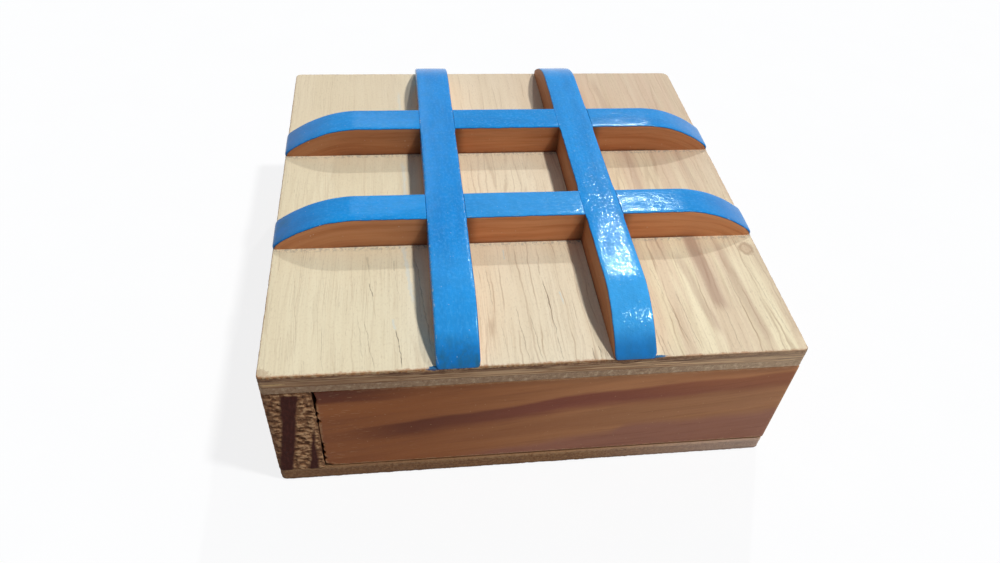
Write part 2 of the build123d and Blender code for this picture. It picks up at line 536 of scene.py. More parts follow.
def joinedRings(rings, count, closed=False):
    # faces from ring to ring, with count points in each; the last ring joins the first when it is closed,
    # and otherwise both ends get one flat face
    faces = []
    for ring in range(rings if closed else rings - 1):
        near, far = ring * count, (ring + 1) % rings * count
        for k in range(count):
            after = (k + 1) % count
            faces.append((near + k, near + after, far + after, far + k))
    if not closed:
        faces += [tuple(reversed(range(count))), tuple(range((rings - 1) * count, rings * count))]
    return faces


def sweptShell(outline, levels, push, lay=lambda u, v, w: (u, v, w)):
    # rings of the outline at each level, closed by a flat face at both ends; push says how far
    # a spot is moved outwards, and lay where it lies on the object
    points = []
    centre = sum((p for p, _ in outline), Vector((0, 0))) / len(outline)
    # the first and last rings lie within the flat faces
    inward = 1.2
    rings = [(False, levels[0]), *((True, level) for level in levels), (False, levels[-1])]
    for onShell, (inset, height) in rings:
        for point, outward in outline:
            spot = point - outward * inset
            spot += outward * push(spot.x, spot.y, height, outward)
            if not onShell:
                spot = centre + (spot - centre) * (1 - inward / max(inward + 0.1, (spot - centre).length))
            points.append(lay(spot.x, spot.y, height))
    return points, joinedRings(len(rings), len(outline))


def wornBoard(low, high, look, push, bend=5):
    # a board that push wears down; sides has the finest and widest gap between points on each side,
    # from the front round to the left, and rows the gap between rings
    outline = roundedOutline(low, high, look["radii"], look["sides"], bend)
    levels = easedLevels(low.z, high.z, look["rimEase"], look["rows"])
    return (*sweptShell(outline, levels, push), len(outline))


plywoodTop = {
    "radii": (1.2, 1.3, 2.2, 1.4),
    "sides": [(0.35, 0.35)] + [(0.6, 0.6)] * 3,
    "rimEase": 0.35,
    "rows": 0.24,
    "veneer": 1.0,
    "core": 2.4,
    "edgeRoughness": 0.22,
    "rimWear": 0.12,
    "leftTone": paint(235, 221, 186),
    "middleTone": paint(238, 223, 192),
    "rightTone": paint(247, 232, 194),
    "farTone": paint(212, 188, 160),
    "rose": paint(212, 182, 154),
    "fibreDark": paint(176, 142, 104),
    "crackDark": paint(108, 88, 70),
    "mauve": paint(176, 144, 120),
    "pale": paint(212, 214, 202),
    "rim": paint(176, 120, 78),
    # lines in the grain: place across, front end, back end, slope, width, strength
    "cracks": ((-35.4, -46.8, -22.5, -0.116, 0.13, 0.17), (-36.2, -38.4, -33.6, -0.22, 0.18, 0.5),
               (-37.3, -30.0, -24.5, -0.06, 0.32, 0.22), (-31.4, -30.2, -26.2, 0.0, 0.18, 0.41),
               (-30.3, -41.0, -30.0, -0.1, 0.13, 0.14), (-30.2, -59.4, -48.0, -0.096, 0.18, 0.62),
               (-38.2, -56.5, -44.0, -0.126, 0.13, 0.22), (-35.8, -59.6, -44.5, -0.17, 0.14, 0.28),
               (-46.3, -59.6, -46.0, -0.09, 0.13, 0.17), (-47.0, -41.5, -26.5, -0.07, 0.13, 0.12),
               (-52.1, -56.0, -28.0, -0.082, 0.22, 0.11), (-23.6, -57.0, -24.0, -0.08, 0.24, 0.30),
               (4.0, -59.5, -52.0, 0.0, 0.11, 0.4), (3.95, -53.0, -33.5, -0.035, 0.16, 0.42),
               (3.65, -44.8, -38.5, -0.035, 0.2, 0.55), (3.2, -33.8, -28.0, -0.05, 0.13, 0.28),
               (-9.4, -43.0, -30.0, -0.03, 0.16, 0.30), (-7.4, -57.5, -46.0, -0.06, 0.11, 0.19),
               (-3.0, -59.6, -42.0, -0.06, 0.14, 0.30), (-0.2, -59.6, -45.0, -0.07, 0.13, 0.28),
               (9.4, -48.5, -41.0, -0.06, 0.11, 0.19), (11.0, -59.6, -56.0, -0.05, 0.18, 0.44),
               (12.6, -59.6, -55.5, -0.05, 0.16, 0.39), (14.0, -59.0, -55.8, -0.05, 0.16, 0.33),
               (33.7, -57.0, -43.0, -0.17, 0.14, 0.28), (31.3, -43.0, -31.0, -0.09, 0.13, 0.22),
               (35.6, -59.6, -39.0, -0.07, 0.14, 0.28), (44.3, -59.6, -43.0, 0.0, 0.16, 0.25),
               (49.5, -59.0, -30.0, -0.03, 0.16, 0.19), (57.4, -58.0, -26.0, -0.09, 0.20, 0.19),
               (26.6, -59.8, -51.0, 0.01, 0.14, 0.33), (27.6, -59.8, -53.0, -0.05, 0.13, 0.33),
               (28.6, -59.8, -55.0, -0.05, 0.13, 0.28)),
    "streaks": ((44.6, -48.0, -18.0, -0.06, 2.3, 0.7), (41.1, -55.0, -26.0, -0.1, 1.6, 0.4),
                (59.3, -58.0, -22.0, 0.0, 1.6, 0.35), (51.5, -59.0, -22.0, -0.04, 1.8, 0.4),
                (36.0, -12.0, 60.0, -0.03, 1.4, 0.35), (28.5, 20.0, 60.0, -0.03, 2.2, 0.3),
                (52.0, -12.0, 40.0, -0.05, 1.1, 0.3)),
    # pale streaks: the three near x = -28 run along the edge of the left long bar's shadow
    "paleStreaks": ((-31.2, -48.6, -45.0, -0.17, 0.45, 0.6), (-27.3, -41.5, -20.0, -0.076, 0.9, 0.6),
               (-4.9, -27.5, -23.5, 0.0, 0.35, 0.8), (6.9, -43.0, -38.5, -0.05, 0.35, 0.9),
               (-27.8, -11.0, 14.0, -0.02, 0.9, 0.5), (-28.2, 27.0, 50.0, -0.02, 0.9, 0.4)),
    "knot": (56.8, -26.3),
    # spots on the front edge: place across, depth below the top, reach, tone
    "edgeSpots": ((-58.4, 1.1, (2.6, 2.0, 0.16), paint(58, 24, 20)),
                  (-56.8, 2.5, (3.4, 2.0, 0.2), paint(226, 188, 130)),
                  (-23.4, 0.0, (1.8, 2.0, 0.5), paint(38, 100, 150)),
                  (-18.4, 0.0, (4.6, 2.0, 0.3), paint(38, 92, 130)),
                  (22.5, 0.0, (4.4, 2.0, 0.25), paint(36, 84, 124))),
}


def patch(w, place, centre, reach, ragged=0.4):
    # one smudge with a ragged rim
    return w.group(smudge, Vector=place, Centre=centre, Reach=reach, Ragged=ragged)["Patch"]


def laneEdge(w, lane):
    # how far it is to the edge of the lane's next cell
    settings = {"feature": "DISTANCE_TO_EDGE", "voronoi_dimensions": "2D"}
    return w.add("TexVoronoi", into={"Vector": lane, "Scale": 1.0}, **settings).outputs[0]


def nearEdge(w, place, low, high, width):
    return w.group(boxEdge, Vector=place, Low=tuple(low), High=tuple(high), Width=width)["Edge"]


def plywoodFaceMaterial():
    look = plywoodTop
    material, w = newMaterial("plywoodFace")
    place = w.place()
    x, y, z = w.apart(place)
    grain = w.together(y, x, z)
    wavy = wavered(w, place)
    marks = w.group(fibres, Vector=grain, Streak=0.9, Line=1.5, Length=0.012)
    rings = w.group(growthRings, Vector=grain, Pith=(0.0, -20.0, -300.0), Spacing=0.55, Wander=0.16)
    colour = w.mix(w.step(x, -36.0, -16.0), look["leftTone"], look["middleTone"])
    colour = w.lay(colour, look["rightTone"], w.step(x, 14.0, 32.0))
    # darker towards the back and the right, and on the outer sides of the back half
    far = w.step(w.plus(y, w.times(x, 1.1)), 0.0, 95.0)
    colour = w.lay(colour, look["farTone"], far, 0.8)
    outer = w.times(w.step(y, -10.0, 50.0), w.step(w.size(x), 22.0, 30.0))
    colour = w.lay(colour, look["farTone"], outer, 0.35)
    cloudy = w.noise(w.move(grain, (0.016, 0.11, 0.05)), 1, 3, 0.5)
    colour = w.lay(colour, paint(216, 196, 158), w.step(cloudy, 0.36, 0.7), 0.24)
    rosy = w.step(w.noise(w.move(grain, (0.012, 0.2, 0.1), (3.1, 0.7, 0)), 1, 3, 0.6), 0.42, 0.62)
    colour = w.lay(colour, look["rose"], w.times(rosy, w.step(x, 0.0, 36.0)), 0.5)
    colour = w.lay(colour, look["fibreDark"], w.step(marks["Streaks"], 0.42, 0.7), 0.09)
    colour = w.lay(colour, look["fibreDark"], rings["Late"], w.between(w.step(x, 10.0, 36.0), 0.06, 0.13))
    drift = w.ripple(3.0, w.stretched((x, y), (0.05, 0.06)), 1, 3, 0.55)
    calmer = w.step(x, -26.0, -14.0, 0.4, 1.0)
    for lanes, half, strength in ((0.31, 0.07, 0.38), (0.75, 0.1, 0.12)):
        lane = w.together(w.times(w.plus(x, drift), lanes), w.plus(w.times(y, 0.012), lanes * 9))
        line = w.times(w.step(laneEdge(w, lane), half, 0.2 * half), calmer)
        broken = w.step(w.noise(w.together(w.times(y, 0.07), w.times(x, 0.4), lanes), 1, 3), 0.36, 0.62)
        line = w.times(w.times(line, broken), w.between(w.step(y, -30.0, 20.0), strength, 0.5 * strength))
        colour = w.lay(colour, paint(144, 102, 66), line)
    colour = w.lay(colour, paint(146, 110, 80), marks["Lines"], w.between(w.step(y, -30.0, 20.0), 0.12, 0.08))
    # dust against the feet of the cross bars
    for node in ("cross_bar_front", "cross_bar_back"):
        beside = w.size(w.plus(y, 0.3 - corners(node)[0].y))
        crumbs = w.step(w.noise(w.move(place, (1.2, 1.2, 1)), 1, 4, 0.7), 0.44, 0.62)
        colour = w.lay(colour, paint(120, 128, 126), w.times(w.step(beside, 1.5, 0.1), crumbs), 0.5)
    colour = w.lay(colour, paint(140, 120, 100), marks["Pores"], 0.3)
    mealy = w.step(w.noise(w.move(place, (2.2, 1.1, 1)), 1, 3, 0.6), 0.5, 0.7)
    colour = w.lay(colour, paint(176, 148, 112), mealy, 0.16)

    calm = w.together(w.plus(x, w.ripple(2.0, w.stretched((x, y), (0.05, 0.06)), 1, 2)), y, 1.0)

    def lines(kind):
        reach = 0.0
        for across, start, end, slope, width, strength in look[kind]:
            given = {"X": across, "From": start, "To": end, "Slope": slope, "Width": width}
            split = w.group(crack, Vector=calm if kind == "streaks" else wavy, **given)["Split"]
            reach = w.most(reach, w.times(split, strength))
        return reach

    colour = w.lay(colour, look["mauve"], lines("streaks"))
    colour = w.lay(colour, look["pale"], lines("paleStreaks"))
    splits = lines("cracks")
    colour = w.lay(colour, look["crackDark"], splits)
    knotX, knotY = look["knot"]
    away = w.together(w.over(w.plus(x, -knotX), 1.5), w.over(w.plus(y, -knotY), 2.0))
    away = w.plus(w.length(away), w.ripple(0.9, place, 0.8, 3))
    colour = w.lay(colour, paint(168, 128, 96), w.step(away, 1.3, 0.8), 0.4)
    colour = w.lay(colour, paint(128, 88, 60), w.step(w.size(w.plus(away, -1.0)), 0.45, 0.05), 0.3)
    low, high = corners("top_panel")
    rim = nearEdge(w, place, low, high, 0.8)
    colour = w.lay(colour, look["rim"], rim, w.between(w.step(y, -58.0, -59.2), 0.25, 0.75))
    dirt = patch(w, place, (-59.6, -59.4, high.z), (2.6, 2.2, 2.0), 0.5)
    colour = w.lay(colour, paint(164, 124, 90), dirt, 0.4)
    # blue that ran off the ends of the two long bars
    for across, along, reach in ((-23.6, -59.6, (1.5, 0.7, 2.0)), (25.2, -59.5, (1.9, 0.4, 2.0))):
        colour = w.lay(colour, paint(40, 104, 146), patch(w, place, (across, along, high.z), reach))
    fuzz = w.noise(w.move(grain, (0.2, 3.0, 3.0)), 1, 3)
    height = w.plus(w.times(marks["Streaks"], 0.02), w.times(fuzz, 0.015))
    height = w.minus(height, w.plus(w.times(splits, 0.15), w.times(marks["Lines"], 0.02)))
    finishMaterial(w, colour, w.between(marks["Streaks"], 0.5, 0.66), height, 0.3)
    return material


def plywoodEdgeMaterial():
    look = plywoodTop
    material, w = newMaterial("plywoodEdge")
    place = w.place()
    x, y, z = w.apart(place)
    top = corners("top_panel")[1].z
    wobble = w.ripple(0.5, w.move(place, (0.25, 0.25, 0.0)), 1, 3, 0.6)
    depth = w.plus(w.minus(top, z), wobble)
    coreEnd = look["veneer"] + look["core"]
    inCore = w.hump(depth, look["veneer"] - 0.1, look["veneer"] + 0.1, coreEnd - 0.12, coreEnd + 0.12)
    onSide = w.step(w.size(x), 59.2, 59.7)
    cutEnds = w.size(w.minus(inCore, w.minus(1.0, onSide)))
    along = w.mix(onSide, w.together(x, y, z), w.together(y, x, z))
    longGrain = w.group(fibres, Vector=w.move(along, (1, 1, 1.7)), Streak=1.6, Line=1.3, Length=0.035)
    ends = w.group(endGrain, Vector=w.move(place, (1.6, 1.6, 2.2)), Scale=1.2)
    fine = w.noise(place, 0.9, 4, 0.6)
    # paler towards the right and darker towards the left
    rightShare = w.step(x, -60.0, 60.0)
    longColour = w.mix(w.step(longGrain["Streaks"], 0.36, 0.62), paint(212, 176, 134), paint(150, 112, 80))
    longColour = w.lay(longColour, paint(84, 52, 38), longGrain["Lines"], 0.9)
    endColour = w.mix(w.step(fine, 0.35, 0.65), paint(166, 134, 104), paint(196, 164, 130))
    endColour = w.lay(endColour, paint(92, 68, 50), ends["Pits"], 0.7)
    endColour = w.lay(endColour, paint(220, 200, 166), ends["Pale"], 0.75)
    colour = w.mix(cutEnds, longColour, endColour)
    veneer = w.step(depth, look["veneer"] + 0.05, look["veneer"] - 0.15)
    veneerTone = w.mix(w.step(fine, 0.35, 0.6), paint(128, 88, 62), paint(176, 134, 96))
    colour = w.lay(colour, veneerTone, veneer, 0.8)
    speckled = w.times(w.step(depth, coreEnd, coreEnd + 0.2), w.step(fine, 0.56, 0.66))
    colour = w.lay(colour, paint(224, 202, 168), speckled, 0.5)
    cracked = w.noise(w.move(along, (0.06, 0.5, 2.6)), 1, 3, 0.6)
    cracked = w.times(w.step(w.size(w.plus(cracked, -0.5)), 0.055, 0.02), w.step(depth, 2.1, 1.3))
    colour = w.lay(colour, paint(62, 30, 24), cracked, 0.85)
    glue = w.step(w.size(w.minus(depth, coreEnd)), 0.14, 0.03)
    colour = w.lay(colour, paint(96, 70, 54), glue, 0.4)
    arris = w.step(w.plus(depth, w.ripple(1.6, place, 1.3, 4, 0.7)), 0.55, 0.3)
    onLeft = w.step(x, 22.0, -12.0)
    line = w.times(w.step(depth, 0.5, 0.25), w.minus(1.0, onLeft))
    colour = w.lay(colour, paint(120, 80, 50), line, 0.6)
    arrisTone = w.mix(w.step(fine, 0.4, 0.6), paint(206, 146, 92), paint(228, 196, 150))
    colour = w.lay(colour, arrisTone, arris, w.between(onLeft, 0.12, 0.8))
    for across, under, reach, tone in look["edgeSpots"]:
        spot = patch(w, place, (across, -60.0, top - under), reach)
        colour = w.lay(colour, tone, spot)
    colour = w.lay(colour, paint(110, 78, 52), w.minus(1.0, rightShare), 0.46)
    colour = w.lay(colour, paint(226, 196, 160), w.step(x, 16.0, 60.0), 0.3)
    height = w.plus(w.times(w.times(ends["Height"], cutEnds), 0.4), w.times(longGrain["Streaks"], 0.25))
    finishMaterial(w, colour, 0.72, height, 0.15)
    return material


def makePlywoodTop():
    look = plywoodTop
    low, high = corners("top_panel")

    def worn(x, y, z, outward):
        depth = high.z - z
        inCore = look["veneer"] < depth < look["veneer"] + look["core"]
        along = x * abs(outward.y) + y * abs(outward.x)
        fine = noise.fractal(Vector((x * 1.9, y * 1.9, z * 3.1)), 0.9, 2.0, 3)
        lines = noise.noise(Vector((along * 0.25, z * 4.0, 7.7)))
        push = 0.5 * fine if not inCore else 0.15 * fine + 0.8 * lines
        rim = noise.noise(Vector((along * 0.5, 3.3, outward.x * 5))) if depth < 0.45 else 0.0
        return min(0.0, -look["edgeRoughness"] * (0.35 + 0.5 * push)) - look["rimWear"] * max(0, rim)

    points, faces, around = wornBoard(low, high, look, worn)
    # the rings between the two rims show the plies
    edgeRings = range(2, len(points) // around - 3)
    slots = [int(k // around in edgeRings) for k in range(len(faces))]
    finishes = [plywoodFaceMaterial(), plywoodEdgeMaterial()]
    newPiece("plywoodTop", points, faces, finishes, "box", "pale_plywood", ["top_panel"], slots)


makePlywoodTop()
print("plywood top made")


barShape = {
    "endHeight": 1.1,
    "footRound": 0.9,
    # how round the upper rims are, and how round they are where the bars cross
    "rimRadius": 0.5,
    "crossingRim": 0.16,
    # how far from each end the top falls, and the gaps in the laps
    "longCurve": 18.0,
    "crossCurve": 20.0,
    "notchGap": 0.1,
    "jointGap": 0.02,
    # rings of points: how far apart along the bar, how far in from each end, and how close to a lap's edges
    "station": 0.55,
    "endRings": (0.0, 0.02, 0.08, 0.18, 0.32, 0.5, 0.72, 0.95),
    "lapRings": 0.012,
    # how uneven the sides and the top are, and how much the top is crowned
    "waviness": 0.12,
    "hollows": 0.10,
    "ripples": 0.05,
    "crown": 0.10,
    # over what length the rims sharpen towards a crossing, and the paint closes over a bar's end
    "jointFade": 1.5,
    "endCover": 2.5,
}

# what the bars' finishes share: how wrinkled the paint is and how its strokes run, how far it runs over
# the edge and further down the left side, how much painted sheen pales its front and middle, how much
# painted shade darkens its ends, and how much the wood darkens towards the front
barFinish = {
    "wrinkle": 1.0, "strokes": (0.5, 1.4), "overrun": 0.3, "spill": 0.0,
    "front": 0.0, "middle": 0.0, "ends": 0.0, "fade": 0.0,
}

# and what each bar has of its own; wood is how light its wood is
barFinishes = {
    "long_bar_left": {
        **barFinish, "blue": paint(14, 142, 221), "gloss": 0.14, "wrinkle": 0.9, "strokes": (1.25, 1.05),
        "front": 0.2, "spill": 5.5, "specks": 0.7, "worn": 1.0, "wood": 0.97, "seed": 3.0,
    },
    "long_bar_right": {
        **barFinish, "blue": paint(28, 151, 228), "gloss": 0.04, "wrinkle": 1.15, "strokes": (1.25, 1.05),
        "front": 0.5, "overrun": 0.25, "specks": 0.2, "worn": 0.35, "wood": 0.82, "seed": 11.0,
    },
    "cross_bar_front": {
        **barFinish, "blue": paint(4, 147, 224), "gloss": 0.11, "middle": 0.4, "ends": 0.5, "fade": 0.25,
        "specks": 0.5, "worn": 0.7, "wood": 1.36, "seed": 23.0,
    },
    "cross_bar_back": {
        **barFinish, "blue": paint(8, 144, 220), "gloss": 0.12, "ends": 0.4, "fade": 0.25,
        "specks": 0.4, "worn": 0.4, "wood": 1.14, "seed": 37.0,
    },
}

barColours = {
    "glint": (0.62, 1.0, 0.95, 1.0),
    "deepBlue": paint(2, 104, 178),
    "thinBlue": paint(14, 48, 82),
    "footBlue": paint(40, 100, 126),
    "primer": paint(206, 214, 206),
    "wood": paint(186, 119, 75),
    "woodDark": paint(144, 85, 54),
    "woodPale": paint(198, 136, 92),
}


def barMaterial(name, look, laps):
    tone, seed = barColours, look["seed"]
    material, w = newMaterial(name)
    along, across, drop = w.kept("along"), w.kept("across"), w.kept("drop")
    flat = w.together(along, across, seed)
    # nought on one side of the bar and one on the other
    whichSide = w.step(across, -0.1, 0.1)
    waver = w.ripple(0.55, w.together(w.times(along, 0.22), whichSide, seed), 1, 4, 0.6)
    limit = w.most(w.plus(look["overrun"], waver), 0.18)
    painted = w.step(w.minus(drop, limit), 0.14, -0.06)
    # paint
    cloudy = w.noise(w.move(flat, (0.05, 0.22, 1)), 1, 3, 0.55)
    brush = w.noise(w.move(flat, (0.06, 2.6, 1)), 1, 3, 0.6)
    blue = w.mix(w.times(w.step(cloudy, 0.35, 0.7), 0.3), look["blue"], tone["deepBlue"])
    blue = w.lay(blue, tone["deepBlue"], w.step(brush, 0.5, 0.75), 0.2)
    # pale speckle, partly mottled paint and partly painted glints; the same noise varies the gloss
    gritAndGlint = w.noise(w.move(flat, (1.1, 1.5, 1)), 1, 3, 0.7)
    blue = w.lay(blue, paint(78, 174, 240), w.step(gritAndGlint, 0.46, 0.66), 0.32)
    # painted sheen: paler towards the front end
    blue = w.lay(blue, paint(86, 192, 255), w.step(along, -24.0, -42.0), look["front"])
    # painted shade: darker towards both ends
    blue = w.lay(blue, tone["deepBlue"], w.step(w.size(along), 45.0, 54.0), look["ends"])
    # painted sheen: paler round the middle
    blue = w.lay(blue, paint(80, 170, 234), w.step(w.size(w.plus(along, -8.0)), 40.0, 12.0), look["middle"])
    mottled = w.step(w.noise(w.move(flat, (0.34, 0.4, 1)), 1, 5, 0.62), 0.34, 0.66)
    # painted shade on each bar's first low end (front or left), with mottled dirt over it
    foot = w.step(along, -53.5, -59.2)
    blue = w.lay(blue, tone["deepBlue"], foot, 0.75)
    blue = w.lay(blue, tone["footBlue"], mottled, w.between(foot, 0.12, 0.8 * look["worn"]))
    thin = w.times(w.step(w.minus(drop, limit), -0.26, 0.04), w.step(drop, 0.02, 0.14))
    blue = w.lay(blue, tone["thinBlue"], thin, 0.85)
    dots = w.group(specks, Vector=flat, Scale=1.5, Amount=0.16 * look["specks"], Radius=0.2)["Specks"]
    blue = w.lay(blue, paint(176, 206, 222), dots, 0.45)
    atRim = w.step(w.size(across), 4.0, 4.6)
    chipFrom = 0.68 - 0.1 * look["worn"]
    chips = w.step(w.noise(w.move(flat, (0.5, 1.2, 1)), 1, 4, 0.75), chipFrom, chipFrom + 0.05)
    chips = w.times(w.times(chips, atRim), w.step(drop, 0.45, 0.1))
    blue = w.lay(blue, tone["primer"], chips, 0.6)
    # varnished sides
    side = w.together(along, drop, w.plus(whichSide, seed))
    marks = w.group(fibres, Vector=side, Streak=0.7, Line=1.3, Length=0.035)
    pale, plain, dark = (shade(tone[kind], look["wood"]) for kind in ("woodPale", "wood", "woodDark"))
    wood = w.mix(w.step(marks["Streaks"], 0.34, 0.7), pale, plain)
    wood = w.lay(wood, dark, w.step(marks["Streaks"], 0.5, 0.8), 0.22)
    wood = w.lay(wood, paint(112, 62, 38), marks["Lines"], 0.1)
    wood = w.lay(wood, paint(100, 56, 34), marks["Pores"], 0.3)
    # darker towards the foot of the sides
    wood = w.lay(wood, dark, w.step(drop, 5.2, 8.2), 0.3)
    wood = w.lay(wood, paint(110, 62, 42), w.step(along, 10.0, -50.0), look["fade"])
    # painted shade on the wood beside each crossing, where the other bar shades it
    for lap in laps:
        wood = w.lay(wood, paint(84, 48, 34), w.step(w.size(w.plus(along, -lap)), 8.0, 4.8), 0.62)
    # dirt and painted shade where the sides meet the board
    grimeAndShade = w.step(w.plus(drop, w.times(w.noise(side, 0.8, 3), 0.6)), 8.0, 8.8)
    wood = w.lay(wood, paint(66, 48, 42), grimeAndShade, 0.6)
    dust = w.group(specks, Vector=side, Scale=1.2, Amount=0.24, Radius=0.2)["Specks"]
    wood = w.lay(wood, paint(226, 196, 166), dust, w.times(w.step(w.noise(side, 0.12, 2), 0.4, 0.58), 0.7))
    colour = w.mix(painted, wood, blue)
    peel = w.noise(w.move(flat, (0.7, 1.0, 1)), 1.0, 2, 0.5, 0.4)
    small = w.noise(w.move(flat, (*look["strokes"], 1)), 1.0, 2, 0.65, 0.5)
    wet = w.plus(w.times(small, 0.05 * look["wrinkle"]), w.times(brush, 0.008))
    wet = w.plus(w.plus(w.times(peel, 0.008 * look["wrinkle"]), wet), w.times(painted, 0.05))
    dry = w.plus(w.times(marks["Streaks"], 0.03), w.times(marks["Lines"], -0.015))
    roughPaint = w.step(gritAndGlint, 0.4, 0.62, look["gloss"], look["gloss"] + 0.09)
    roughPaint = w.plus(roughPaint, w.ripple(0.06, flat, 0.6, 3, 0.6))
    roughness = w.between(painted, 0.55, roughPaint)
    height = w.between(painted, dry, wet)
    finishMaterial(w, colour, roughness, height, 0.15, **{"Specular Tint": tone["glint"]})
    return material


def makeBar(node, name, lengthwise, curve, laps, lapSide):
    # a section carried along the bar: its top falls along a curve to the low ends,
    # and the laps cut it half through from the side that lapSide names
    look = barShape
    low, high = corners(node)
    middle = (low + high) / 2
    end = (high - low)[1 if lengthwise else 0] / 2
    halfWidth = (high - low)[0 if lengthwise else 1] / 2
    tall = high.z - low.z
    reach = halfWidth + (look["notchGap"] if lapSide == "below" else look["jointGap"])
    count = round(2 * end / look["station"])
    stations = {round(-end + 2 * end * k / count, 4) for k in range(count + 1)}
    for lap in laps:
        stations = {s for s in stations if min(abs(s - lap + reach), abs(s - lap - reach)) > 0.15}
        for rim in (lap - reach, lap + reach):
            stations.update((round(rim - look["lapRings"], 4), round(rim + look["lapRings"], 4)))
    stations = {s for s in stations if abs(s) < end - 1.1}
    for inward in look["endRings"]:
        stations.update((inward - end, end - inward))
    points, marks = [], {"along": [], "across": [], "drop": []}
    sideSteps, rimSteps, topSteps = 9, 5, 16
    stations = sorted(stations)
    for s in stations:
        toEnd = end - abs(s)
        part = min(1.0, toEnd / curve)
        crest = look["endHeight"] + (tall - look["endHeight"]) * (1 - (1 - part) ** 2)
        foot = look["footRound"]
        tuck = foot - math.sqrt(max(0.0, foot ** 2 - max(0.0, foot - toEnd) ** 2))
        crest -= 0.7 * tuck
        away = min(abs(s - lap) for lap in laps) - reach
        inLap = away < 0
        bottom = tall / 2 if inLap and lapSide == "below" else 0.0
        if inLap and lapSide == "above":
            crest = tall / 2
        nearJoint = clamped(away / look["jointFade"]) if lapSide == "below" else 1.0
        rim = look["crossingRim"] + (look["rimRadius"] - look["crossingRim"]) * nearJoint
        radius = min(rim, (crest - bottom) * 0.45)
        # half of the section: its side, height and how far in from the side's face it lies
        section = []
        for k in range(sideSteps + 1):
            section.append((-1.0, bottom + (crest - radius - bottom) * k / sideSteps, 0))
        for k in range(1, rimSteps + 1):
            turn = math.pi / 2 * k / rimSteps
            section.append((-1.0, crest - radius + radius * math.sin(turn), radius * (1 - math.cos(turn))))
        for k in range(1, topSteps):
            section.append((-1.0, crest, radius + (2 * halfWidth - 2 * radius) * k / topSteps))
        section += [(1.0, h, inset) for _, h, inset in reversed(section[: sideSteps + rimSteps + 1])]
        cover = 1 - 0.9 * clamped(1 - toEnd / look["endCover"])
        for index, (half, h, inset) in enumerate(section):
            sway = look["waviness"] * dent(s * 0.09, half * 3, middle.x + middle.y)
            sway *= 0.3 + 0.7 * nearJoint
            c = (inset - halfWidth) if index < sideSteps + rimSteps + topSteps else (halfWidth - inset)
            c *= 1 - (sway + tuck) / halfWidth
            below = crest - h
            onTop = max(0.0, 1 - below / 0.6)
            dip = look["hollows"] * dent(s * 0.16, c * 0.22, middle.x * 0.7 + middle.y)
            dip += look["ripples"] * dent(s * 0.5, c * 0.5, middle.y)
            dip += look["crown"] * (c / halfWidth) ** 4
            h -= onTop * min(dip, h * 0.5)
            place = (middle.x + c, middle.y + s) if lengthwise else (middle.x + s, middle.y - c)
            points.append((*place, low.z + h))
            spill = barFinishes[node]["spill"] if c < 0 and below > 0 else 0.0
            marks["along"].append(s)
            marks["drop"].append(below * cover - spill)
            marks["across"].append(math.copysign(abs(c) + below, c))
    faces = joinedRings(len(stations), len(section))
    finish = barMaterial(name + "Paint", barFinishes[node], laps)
    newPiece(name, points, faces, [finish], "box", "blue_bar", [node], marks=marks, sharp=50)


longBars = {"long_bar_left": "longBarLeft", "long_bar_right": "longBarRight"}
crossBars = {"cross_bar_front": "crossBarFront", "cross_bar_back": "crossBarBack"}
longPlaces = [(low.x + high.x) / 2 for low, high in map(corners, longBars)]
crossPlaces = [(low.y + high.y) / 2 for low, high in map(corners, crossBars)]
for barNode, barName in longBars.items():
    makeBar(barNode, barName, True, barShape["longCurve"], crossPlaces, "below")
for barNode, barName in crossBars.items():
    makeBar(barNode, barName, False, barShape["crossCurve"], longPlaces, "above")
print("bars made")


pineBoards = {
    "raw": paint(222, 190, 148),
    "rawLate": paint(196, 150, 104),
    "brown": paint(176, 118, 78),
    "brownLate": paint(120, 68, 44),
    "cutEnd": paint(168, 128, 94),
    "cutEndDark": paint(96, 62, 42),
    "bandDark": paint(60, 27, 20),
    # the painted shade inside the door's gap
    "gapShade": paint(96, 60, 42),
    "wearPale": paint(206, 168, 128),
}

endBands = {
    # the dark growth bands on the left wall's front end: height, left edge, right edge
    "bands": (((4.5, -59.7, -56.6), (12.0, -58.5, -55.3), (19.3, -57.3, -54.2), (26.2, -56.6, -53.3),
               (32.9, -55.9, -52.1)),
              ((4.4, -52.9, -50.6), (10.5, -51.9, -50.5), (15.1, -51.2, -50.4), (20.3, -50.2, -50.1))),
    # they stop a little below the lid
    "top": 32.7,
    "waver": 0.22,
    "blur": 0.6,
}


def inEndBand(x, z):
    # how far a spot of the wall's front end lies inside one of the dark bands, 0 to 1
    look, share = endBands, 0.0
    for band in look["bands"]:
        if not band[0][0] - 1 <= z <= band[-1][0] + 1:
            continue
        for (z0, l0, r0), (z1, l1, r1) in zip(band, band[1:]):
            if z <= z1 or (z1, l1, r1) == band[-1]:
                t = (z - z0) / (z1 - z0)
                waver = look["waver"] * noise.noise(Vector((x * 0.2, z * 0.45, 2.0)))
                left, right = l0 + (l1 - l0) * t + waver, r0 + (r1 - r0) * t + waver
                share = max(share, clamped(min(x - left, right - x) / look["blur"] + 0.5))
                break
    return share * clamped((look["top"] - z) / look["blur"] + 0.5)


